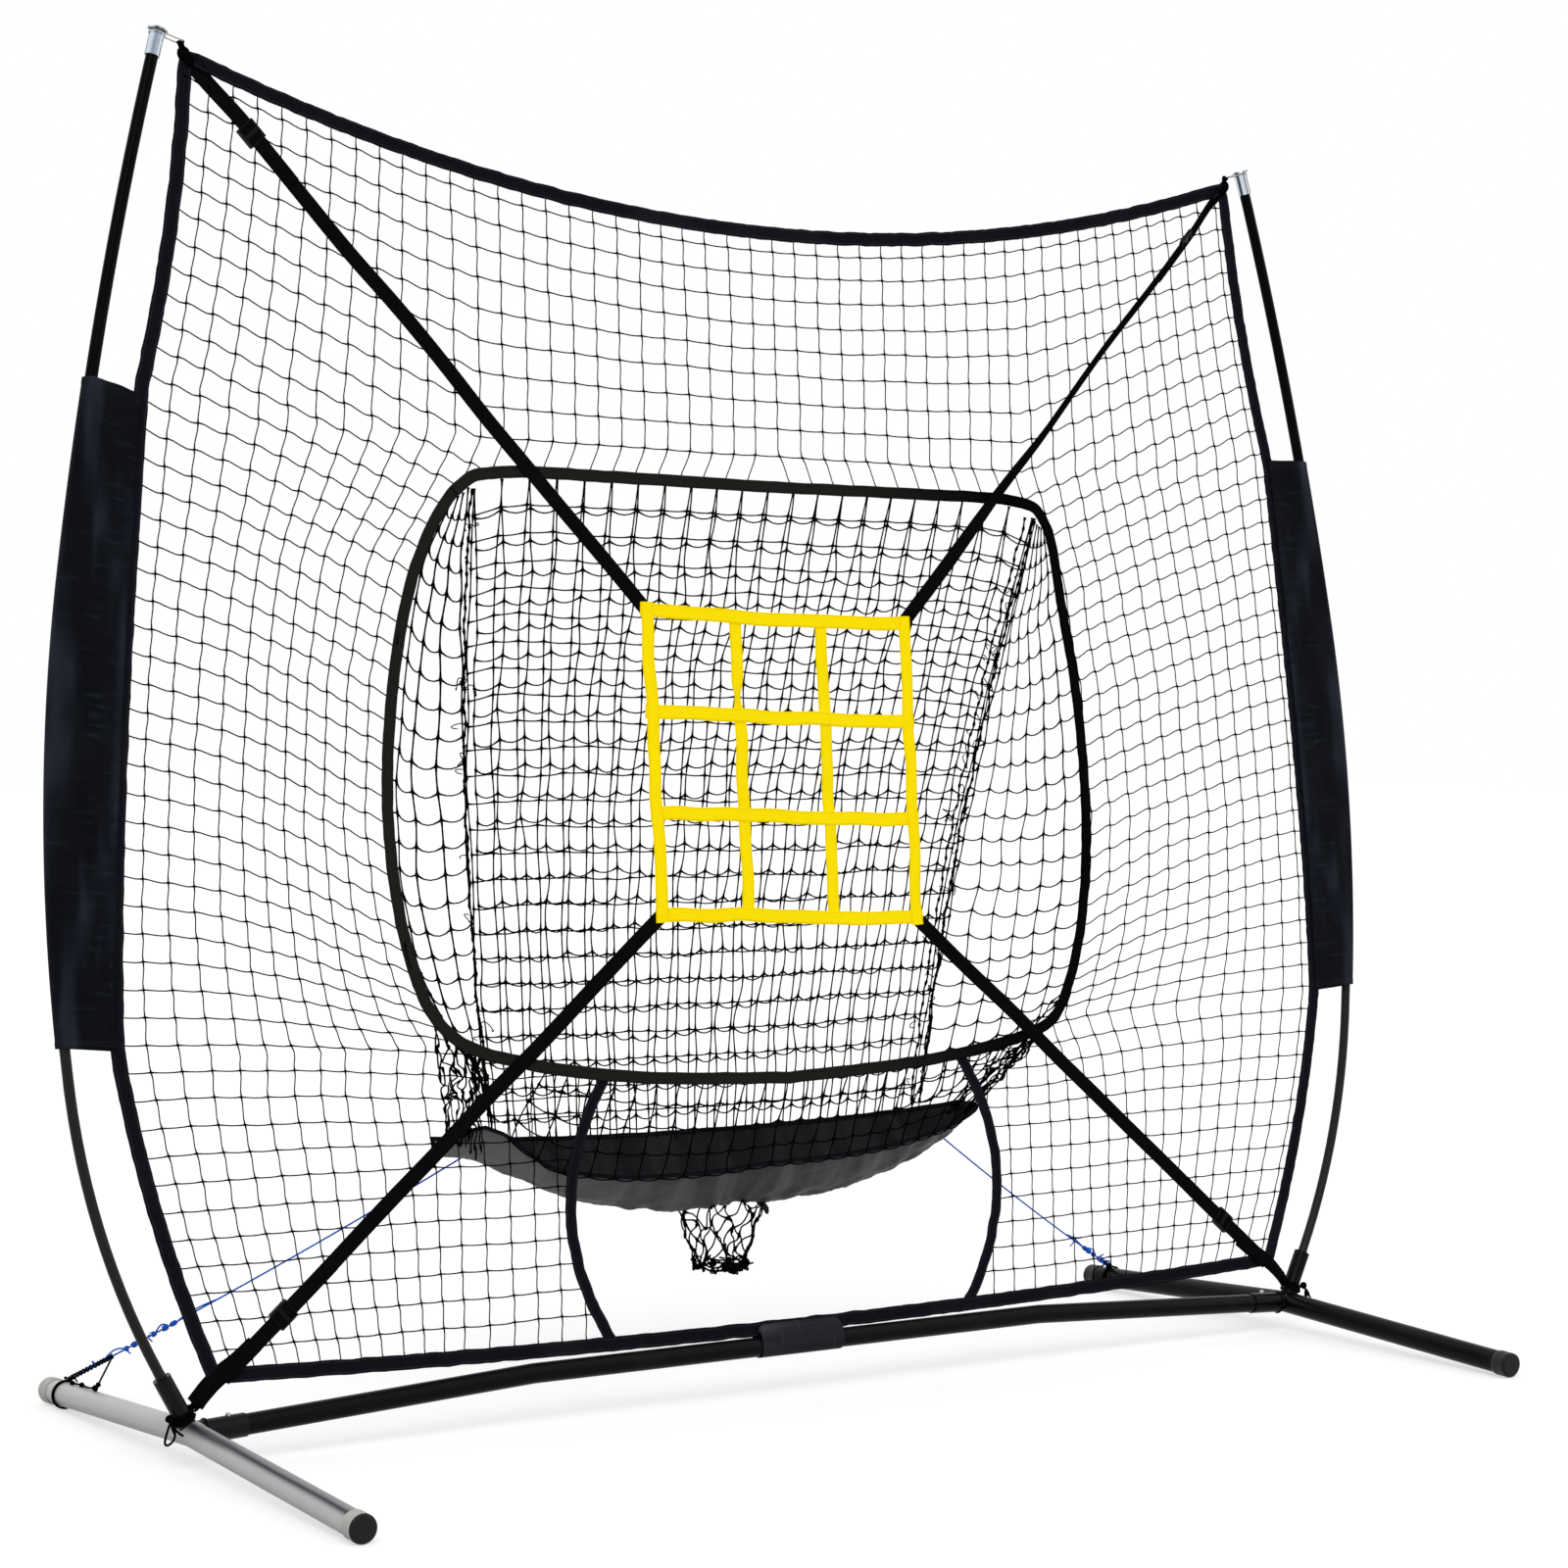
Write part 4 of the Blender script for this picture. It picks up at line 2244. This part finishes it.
@dataclass
class Pocket:
    """Catching pocket of doubled net, cloth tray and net chute."""

    seam_pull: tuple = (506.0, 266.0)
    seam_foot: tuple = (432.0, 258.0, 426.0)
    tray_half: float = 540.0
    tray_tip: tuple = (0.0, 260.0, 420.0)
    lip_depth: float = 160.0
    lip_drop: float = 56.0
    rear_drop: float = 20.0
    tray_drop: float = 95.0
    hole_a: float = 0.46875
    hole_b: float = 0.5
    chute_d: float = 168.0
    mouth_d: float = 96.0
    chute_len: float = 104.0
    twine: float = 1.3
    knot: float = 2.9

    def seam(self, t: Number) -> Array:
        """Right back seam, from the mouth's top corner to the low back corner.

        Args:
            t: shares of the way down.

        Returns:
            The points.
        """
        t = np.asarray(t, float)[..., None]
        top = PANEL.place(561.0, 3.5, 1415.0)
        foot = np.array(self.seam_foot)
        pull = np.array([*self.seam_pull, (top[2] + foot[2]) / 2])
        return (1 - t) ** 2 * top + 2 * t * (1 - t) * pull + t * t * foot

    def tray_at(self, a: Number, b: Number) -> Array:
        """Tray surface.

        Args:
            a: shares across, from the left.
            b: shares from the front lip to the rear rim.

        Returns:
            The points.
        """
        a, b = pair(a, b)
        u = np.clip(2 * a - 1, -1, 1)
        full, soft = np.sqrt(np.maximum(1 - u * u, 0)), 1 - np.abs(u) ** 2.4
        fold = 4 * soft * np.sin(a * 8 * math.pi) * b * (1 - b)
        y = mix(-self.lip_depth * full, 12 * soft, b) + 16 * (b - 0.5)
        z = mix(-self.lip_drop * soft, -self.rear_drop * soft, b) + fold
        z = z - self.tray_drop * soft * arc(b)
        at = (-1.0, -0.97, -0.93, -0.9, -0.85, -0.8, -0.74, -0.68, -0.5, -0.2, 0.0, 1.0)
        lip = np.interp(u, at, (0, 9, 28, 36, 30, 12, -8, -18, -19, -10, 0, 0))
        low = np.interp(u, at, (-26, -20, -14, -11, -7, -3, 0, 0, 0, 0, 0, 0))
        z = z + lip * (1 - b) ** 2 + low * arc(b)
        return np.stack([self.tray_half * u, y, z], -1) + np.array(self.tray_tip)

    def back_at(self, a: Number, b: Number) -> Array:
        """Pocket back.

        Args:
            a: shares from left to right.
            b: shares from the mouth down to the tray.

        Returns:
            The points.
        """
        a, b = pair(a, b)
        e, u = self.seam(b), 2 * a - 1
        bulge = 1 - u * u
        lift = 26 * (1 - u**12) * (1 - b) ** 2
        y = e[..., 1] + lift * math.tan(PANEL.lean) + 14 * bulge * (1 - (1 - b) ** 4)
        p = np.stack([u * (e[..., 0] - 6), y, e[..., 2] + lift], -1)
        low = self.seam(1.0)
        q = np.stack([u * (low[0] - 6), low[1] + 14 * bulge, np.full(u.shape, low[2])], -1)
        rim = self.tray_at(0.5 + q[..., 0] / 2 / self.tray_half, 1.0)
        return p + (rim + np.array([0, 2.7, -1.3]) - q) * b[..., None] ** 3

    def mouth_side(self, b: Number) -> Array:
        """Right side of the mouth, from its top corner to its bottom corner.

        Args:
            b: shares of the way down.

        Returns:
            The points.
        """
        b = np.asarray(b, float)
        half = OUTLINE.half_mouth(4)
        k = mix(13.0, 34.0, b)
        x = np.interp(k, np.arange(len(half)), half[:, 0])
        v = np.interp(k, np.arange(len(half)), half[:, 1])
        return PANEL.place(x, OUTLINE.depth(x, v) + 2.0, v)

    def side_at(self, a: Number, b: Number) -> Array:
        """Right side of the pocket, from the mouth back to the seam.

        Args:
            a: shares of the way back.
            b: shares of the way down.

        Returns:
            The points.
        """
        a, b = pair(a, b)
        line = mix(self.mouth_side(b), self.seam(b), a[..., None])
        line[..., 2] -= 16 * hump(a) * (0.4 + 0.6 * hump(b))
        line[..., 0] += 12 * hump(a) * hump(b)
        return line

    def apron_at(self, a: Number, b: Number) -> Array:
        """Net between the mouth's lower edge and the tray's front lip.

        Args:
            a: shares across.
            b: shares of the way down.

        Returns:
            The points.
        """
        a, b = pair(a, b)
        u = 2 * a - 1
        x = u * 0.66 * OUTLINE.mouth_half
        high = OUTLINE.mouth_high - OUTLINE.mouth_low
        top = PANEL.place(x, 3.5, OUTLINE.mouth_low + 0.045 * high * u * u)
        lip = self.tray_at(0.5 + x / 2 / self.tray_half, 0.0)
        return mix(top, lip + np.array([0, -2.6, -1.2]), b[..., None])

    def chute_at(self, a: Number, b: Number) -> Array:
        """Chute surface.

        Args:
            a: shares of the way round it.
            b: shares of the way down.

        Returns:
            The points.
        """
        a, b = pair(a, b)
        turn = 2 * math.pi * a
        ta = self.hole_a + self.chute_d / 4 / self.tray_half * np.cos(turn)
        tb = self.hole_b + 0.25 * np.sin(turn)
        top = self.tray_at(ta, tb) - np.array([0.0, 0.0, 3.0])
        middle = self.tray_at(self.hole_a, self.hole_b)
        low = np.stack(
            [
                middle[0] + self.mouth_d / 2 * np.cos(turn),
                middle[1] + self.mouth_d * 0.4 * np.sin(turn),
                np.full(turn.shape, middle[2] - self.chute_len),
            ],
            -1,
        )
        c = np.sin(math.pi / 2 * b)[..., None]
        flat = mix(top, low, c)
        return np.concatenate([flat[..., :2], mix(top, low, b[..., None])[..., 2:]], -1)

    def lines(
        self,
        surface: Callable,
        across: int,
        down: int,
        seed: int,
        sag: float = 3.0,
        loose: float = 3.0,
        shift: tuple = (0.0, 0.0, 0.0),
    ) -> Shape:
        """Knotted strands both ways over a surface.

        Args:
            surface: place at shares a and b.
            across: number of cells along a.
            down: number of cells along b.
            seed: number that fixes the unevenness.
            sag: droop of the level strands between knots.
            loose: how far knots wander.
            shift: how far the whole layer hangs off the surface.

        Returns:
            All strands.
        """
        steps = np.array([0.0, 0.07, 0.28, 0.5, 0.72, 0.93])
        parts = []

        def drawn(a: Array, b: Array, share: Array, droop: float) -> None:
            """Adds one strand.

            Args:
                a: its places along a.
                b: its places along b.
                share: place between two knots.
                droop: how far it sags between them.
            """
            fade = np.minimum(1.0, 8.0 * b)[:, None]
            path = surface(a, b) + np.array(shift) * fade
            ends = np.minimum(1.0, 6.0 * np.minimum(b, 1 - b) + 0.15)[:, None]
            path = path + wander(path, 130.0, seed) * loose * ends
            path[:, 2] -= droop * arc(share)
            near = np.minimum(share, 1 - share) * 42.0
            parts.append(tube(path, mix(self.twine, self.knot, bell(near, 2.8)), 5))

        b = np.append((np.arange(down)[:, None] + steps).ravel(), down) / down
        a = np.append((np.arange(across)[:, None] + steps).ravel(), across) / across
        for k in range(across + 1):
            drawn(np.full(len(b), k / across), b, (b * down) % 1.0, 0.0)
        for k in range(1, down + 1):
            drawn(a, np.full(len(a), k / down), (a * across) % 1.0, sag)
        return Shape.joined(parts)

    def seam_cord(self, seed: int, inset: float) -> Shape:
        """A knotted seam cord down a back corner, with loops and tufts.

        Args:
            seed: number that fixes the unevenness.
            inset: how far inside the seam it runs.

        Returns:
            The cord with its tufts.
        """
        rng = np.random.default_rng(seed)
        t = np.linspace(0.0, 1.0, 360)
        path = self.seam(t) + np.array([-inset, -inset * 0.2, 0.0])
        path = path + wander(path, 46.0, seed) * (2.6, 2.6, 1.0)
        d = run_length(path)
        r = 1.5 + 1.5 * np.abs(np.sin(d / 19.0 * math.pi + seed)) ** 6
        parts = [tube(path, r, 6)]
        for start in rng.uniform(0.03, 0.97, 26):
            base = self.seam(start) + np.array([-inset, 0.0, 0.0])
            s = shares(12)
            aim = unit(rng.normal(size=3) * (1, 1, 0.6)) * rng.uniform(7, 20)
            side = unit(rng.normal(size=3)) * rng.uniform(3, 9)
            loop = base + aim * np.sin(math.pi * s * rng.uniform(0.55, 1.0)) + side * sway(s)
            loop[:, 2] -= 7 * s[:, 0] ** 2
            parts.append(cord(loop, 1.0, 5))
        return Shape.joined(parts)

    def tangle(self, seed: int) -> Shape:
        """Gathered strands from the mouth's bottom corner to the tray's end.

        Args:
            seed: number that fixes their ways.

        Returns:
            All strands.
        """
        rng = np.random.default_rng(seed)
        parts = []
        for k in range(13):
            start = self.mouth_side(rng.uniform(0.86, 1.0))
            end = self.tray_at(rng.uniform(0.93, 0.995), rng.uniform(0.0, 1.0))
            s = shares(40)
            line = mix(start, end, s)
            line = line + wander(line, 48.0, seed + 5 * k) * 9 * hump(s)
            near = np.abs(((s[:, 0] * 5 + k * 0.37) % 1.0) - 0.5) * 34.0
            parts.append(tube(line, mix(self.twine, self.knot, bell(near, 2.6)), 5))
        return Shape.joined(parts)

    def tray(self) -> Shape:
        """Cloth tray with folds that run to its hole.

        Returns:
            One sheet.
        """
        rows, columns = 57, 161
        a, b = np.meshgrid(np.linspace(0.0, 1.0, columns), np.linspace(0.0, 1.0, rows))
        points = self.tray_at(a, b)
        soft = 1 - np.abs(2 * a - 1) ** 2.4
        over = (a - self.hole_a) * 2 * self.tray_half
        along = (b - self.hole_b) * 190.0
        angle, far = np.arctan2(along, over), np.hypot(over, along)
        rays = np.sin(angle * 17 + 2.0 * np.sin(angle * 3)) * bell(far - 110, 90)
        flat = np.stack([over, along], -1)
        lift = 2.6 * ripple(flat, 95.0, 71) + 1.7 * ripple(flat * (1.0, 2.2), 46.0, 72)
        lift = lift + 1.0 * ripple(flat * (1.6, 1.0), 24.0, 73) + 1.6 * rays
        hold = ease(np.minimum(b, 1 - b) / 0.12) * ease(soft / 0.35)
        points[..., 2] += lift * hold
        points[..., 1] += 0.5 * lift * hold
        rim = np.where((b < 0.02) | (b > 0.98), 1.0, 0.0)
        points[..., 2] += rim * 1.2 * ripple(flat, 40.0, 74)
        ragged = 1.0 + 0.16 * np.sin(angle * 5 + 1.0) + 0.1 * np.sin(angle * 11)
        gone = (over / 66.0) ** 2 + (along / 40.0) ** 2 < ragged**2
        keep = ~(gone[:-1, :-1] & gone[1:, 1:] & gone[1:, :-1] & gone[:-1, 1:])
        return Shape.sheet(points, np.stack([over * MM, b * 0.24], -1), keep)

    def tray_rims(self) -> Shape:
        """Bound edges of the tray.

        Returns:
            The front and the rear rim.
        """
        a = np.linspace(0.0, 1.0, 180)
        parts = []
        for b in (0.0, 1.0):
            path = self.tray_at(a, b)
            path = path + wander(path, 60.0, 80) * 0.6
            path[:, 2] += 1.0
            parts.append(band(path, tape_profile(9.0, 2.2), face=np.array([0.0, -0.6, 0.8])))
        return Shape.joined(parts)

    def chute(self) -> Shape:
        """Net chute of uneven diamonds whose lower edge is bunched in knots.

        Returns:
            Strands, rims and knots.
        """
        rng = np.random.default_rng(84)
        around, down = 9, 4
        b = np.linspace(0.0, 1.0, 1 + 8 * down)
        share = np.abs((b * down * 2) % 2.0 - 1.0)
        parts = []
        for k in range(2 * around):
            way = 1 if k % 2 else -1
            a = (k // 2 + way * 0.5 * b * down) / around
            path = self.chute_at(a, b)
            sway_by = 7.5 * np.minimum(1.0, 5.0 * b + 0.1)
            path = path + wander(path, 52.0, 83) * sway_by[:, None]
            path[:, 2] += 3.0 * np.sin(2 * math.pi * b * down + k)
            parts.append(tube(path, 1.45 + 1.7 * bell(1 - share, 0.2), 6))
        turn = np.linspace(0.0, 1.0, 73)
        for lift, size in ((0.0, 2.0), (5.0, 1.6)):
            rim = self.chute_at(turn, np.ones(73)) + np.array([0.0, 0.0, lift])
            rim = rim + wander(rim, 34.0, 87) * 4.0
            rim[-1] = rim[0]
            parts.append(tube(rim, size, 6))
        for k in range(12):
            spot = self.chute_at(rng.uniform(0.0, 1.0), 1.0) + (0.0, 0.0, rng.uniform(-3, 5))
            parts.append(Tapes.wound(spot, tuple(rng.uniform(3.5, 8.0, 3)), 1.7, 5, k))
        for k in range(26):
            base = self.chute_at(rng.uniform(0.0, 1.0), 1.0)
            s = shares(14)
            spread = unit(rng.normal(size=3) * (1, 1, 0.5)) * rng.uniform(6, 15)
            other = unit(rng.normal(size=3)) * rng.uniform(4, 9)
            loop = base + spread * hump(s) + other * sway(s)
            loop[:, 2] += rng.uniform(-4, 16)
            parts.append(cord(loop, 1.5, 5))
        return Shape.joined(parts)

    def flap(self) -> Shape:
        """Ragged cloth that hangs at the hole's edge.

        Returns:
            One sheet.
        """
        t, fall = np.meshgrid(np.linspace(-0.9, 0.5, 22), np.linspace(0.0, 1.0, 9))
        a = self.hole_a + 0.078 * np.cos(t)
        b = self.hole_b + 0.24 * np.sin(t)
        points = self.tray_at(a, b)
        drop = 13.0 + 7.0 * np.sin(t * 7.0) + 3.0 * np.sin(t * 19.0)
        drop = drop * ease((t + 0.9) / 0.25) * ease((0.5 - t) / 0.25)
        points[..., 2] -= fall * drop + 1.5
        points[..., 0] += 5.0 * fall * np.sin(t * 9.0) + 4.0 * fall
        return Shape.sheet(points, np.stack([t * 0.05, fall * 0.02], -1))

    def build(self) -> None:
        """Makes the pocket, tray and chute."""
        layers = [
            self.lines(self.back_at, 22, 25, 85, sag=2.0, loose=3.0),
            self.lines(self.back_at, 22, 24, 95, sag=8.0, loose=5.0, shift=(11.0, -5.0, -9.0)),
        ]

        def net(name: str, shape: Shape, nodes: Sequence[str] = ()) -> None:
            """Adds one piece of pocket net."""
            add_piece(name, shape, POCKET_TWINE, nodes)

        net("pocket_back_net", Shape.joined(layers), ["pocket_back"])
        for side in Side:
            seed, word = 100 + 3 * side.value, side.word
            right = side is Side.RIGHT
            count = 6 if right else 4
            shape = self.lines(self.side_at, count, 24, seed, sag=7.0, loose=4.0).on(side)
            shape.points = pulled(shape.points)
            net(f"pocket_side_net_{word}", shape, [f"pocket_side_{word}"])
            cords = [self.seam_cord(seed + 1, 0.0)] + [self.seam_cord(seed + 2, 24.0)] * right
            net(f"pocket_seam_{word}", Shape.joined(cords).on(side))
            gather = self.tangle(seed + 40).on(side)
            gather.points = pulled(gather.points)
            net(f"pocket_gather_{word}", gather)
        apron = self.lines(self.apron_at, 22, 4, 87, sag=4.0, loose=4.0)
        net("pocket_apron_net", apron, ["pocket_apron"])
        tray = add_piece("cloth_tray", self.tray(), TRAY_INSIDE, ["ball_tray"])
        thicken(tray, 1.2, TRAY_OUTSIDE)
        rims = add_piece("tray_rims", self.tray_rims(), HEM_TAPE)
        flap = add_piece("tray_flap", self.flap(), TRAY_INSIDE)
        thicken(flap, 1.2)
        net("ball_chute_net", self.chute(), ["ball_chute"])


# --------------------------------------------------------------------- sleeves


@dataclass
class Sleeves:
    """Cloth sleeves on the poles and the wrap on the crossbar."""

    pole_r: float = 12.4
    thick: float = 0.9

    def sleeve(self, side: Side, seed: int) -> Shape:
        """A sleeve: from the hem's front round the pole to its back.

        Args:
            side: which pole.
            seed: number that fixes the creases.

        Returns:
            One sheet, drawn for the right side.
        """
        rows, columns = 150, 61
        low, high = OUTLINE.sleeve_low, OUTLINE.sleeve_high
        p, share = np.meshgrid(np.linspace(0.0, 1.0, columns), np.linspace(0.0, 1.0, rows))
        front = p < 0.4
        t = np.clip(np.where(front, p / 0.4, (1 - p) / 0.4), 0, 1)
        if side is Side.LEFT:
            high = high + 4.0 - 20.0 * (1 - t)
        low = low + 8.0 * t
        v = mix(low, high, share)
        pole, hem = POLE.across(v), OUTLINE.side(v) + 1.0
        turn = np.clip((p - 0.4) / 0.2, 0, 1) * math.pi - math.pi / 2
        x = np.where((p >= 0.4) & (p <= 0.6), pole + self.pole_r * np.cos(turn), mix(hem, pole, t))
        face = np.where(front, -1.0, 1.0)
        flat = face * mix(2.8, self.pole_r, ease(t * 1.15))
        w = np.where((p >= 0.4) & (p <= 0.6), self.pole_r * np.sin(turn), flat)
        loose = np.sin(math.pi * np.clip(t, 0, 1)) ** 0.8 * ((p < 0.4) | (p > 0.6))
        spot = np.stack([x, v * 0.45, face * 60], -1)
        w = w + loose * (4.6 * ripple(spot, 85.0, seed) + 2.8 * ripple(spot, 36.0, seed + 1))
        pull = np.sin(v / 27.0 * 2 * math.pi + 2.5 * ripple(spot, 160.0, seed + 2))
        w = w + pull * 1.3 * np.exp(-t / 0.22) * (t > 0.02)
        end = np.minimum(v - low, high - v)
        x = x + np.where(end < 12, 0.8, 0.0) * np.where(t > 0.98, 1, 0)
        points = PANEL.place(x, w, v)
        around = np.linalg.norm(np.diff(points, axis=1), axis=-1)
        u = np.concatenate([np.zeros((rows, 1)), np.cumsum(around, axis=1)], axis=1)
        return Shape.sheet(points, np.stack([u, end], -1) * MM)

    def wrap(self) -> Shape:
        """Cloth band round the middle of the crossbar, sewn to the bottom hem.

        Returns:
            One sheet.
        """
        half, bar_r = 80.0, 17.4
        centre_w, centre_v = -30.0 * math.sin(PANEL.lean), 30.0 * math.cos(PANEL.lean)
        turn = np.linspace(math.radians(62), math.radians(360 - 62), 40)
        ring = np.stack([centre_w - bar_r * np.sin(turn), centre_v + bar_r * np.cos(turn)], -1)
        rise = np.linspace(1.0, 0.0, 14)[:, None]
        high = np.array([-3.4, 66.0])
        back = np.array([3.4, 66.0])
        bow = np.array([-3.0, 0.0]) * hump(rise)
        start = mix(ring[0], high, rise) + bow
        end = mix(ring[-1], back, rise[::-1]) - bow[::-1]
        profile = np.vstack([start[:-1], ring, end[1:]])
        x = np.linspace(-half, half, 61)
        points = np.empty((len(x), len(profile), 3))
        for k, at in enumerate(x):
            edge = np.clip((half - abs(at)) / 12.0, 0.0, 1.0)
            cut = 12.0 * (1 - math.sqrt(max(0.0, 1 - (1 - edge) ** 2)))
            line = profile.copy()
            line[:, 1] = np.minimum(line[:, 1], 66.0 - cut)
            spot = np.stack([np.full(len(line), at), line[:, 0] * 2, line[:, 1]], -1)
            line = line + np.stack([ripple(spot, 44.0, 91), np.zeros(len(line))], -1) * 0.8
            points[k] = PANEL.place(at, line[:, 0], line[:, 1])
        uv = np.stack(np.meshgrid(run_length(profile) * MM, x * MM), -1)
        return Shape.sheet(points, uv)

    def build(self) -> None:
        """Makes both sleeves and the wrap."""
        for side in Side:
            word, shape = side.word, self.sleeve(side, 140 + side.value).on(side)
            name, nodes = f"cloth_sleeve_{word}", [f"pole_sleeve_{word}"]
            piece = add_piece(name, shape, SLEEVE_CLOTH, nodes)
            thicken(piece, self.thick)
        shape, nodes = self.wrap(), ["crossbar_wrap"]
        wrap = add_piece("crossbar_cloth", shape, WRAP_CLOTH, nodes)
        thicken(wrap, 1.2)


# ------------------------------------------------------------------------ main


def main() -> None:
    """Builds the studio and every piece of the net."""
    logging.basicConfig(level=logging.INFO, format="%(name)s: %(message)s")
    Studio().build()
    for group in (GuyCords(), Hardware(), FlatNet(), Tapes(), StrikeZone(), Pocket(), Sleeves()):
        LOG.info("building %s", type(group).__name__)
        group.build()


if __name__ == "__main__":
    main()
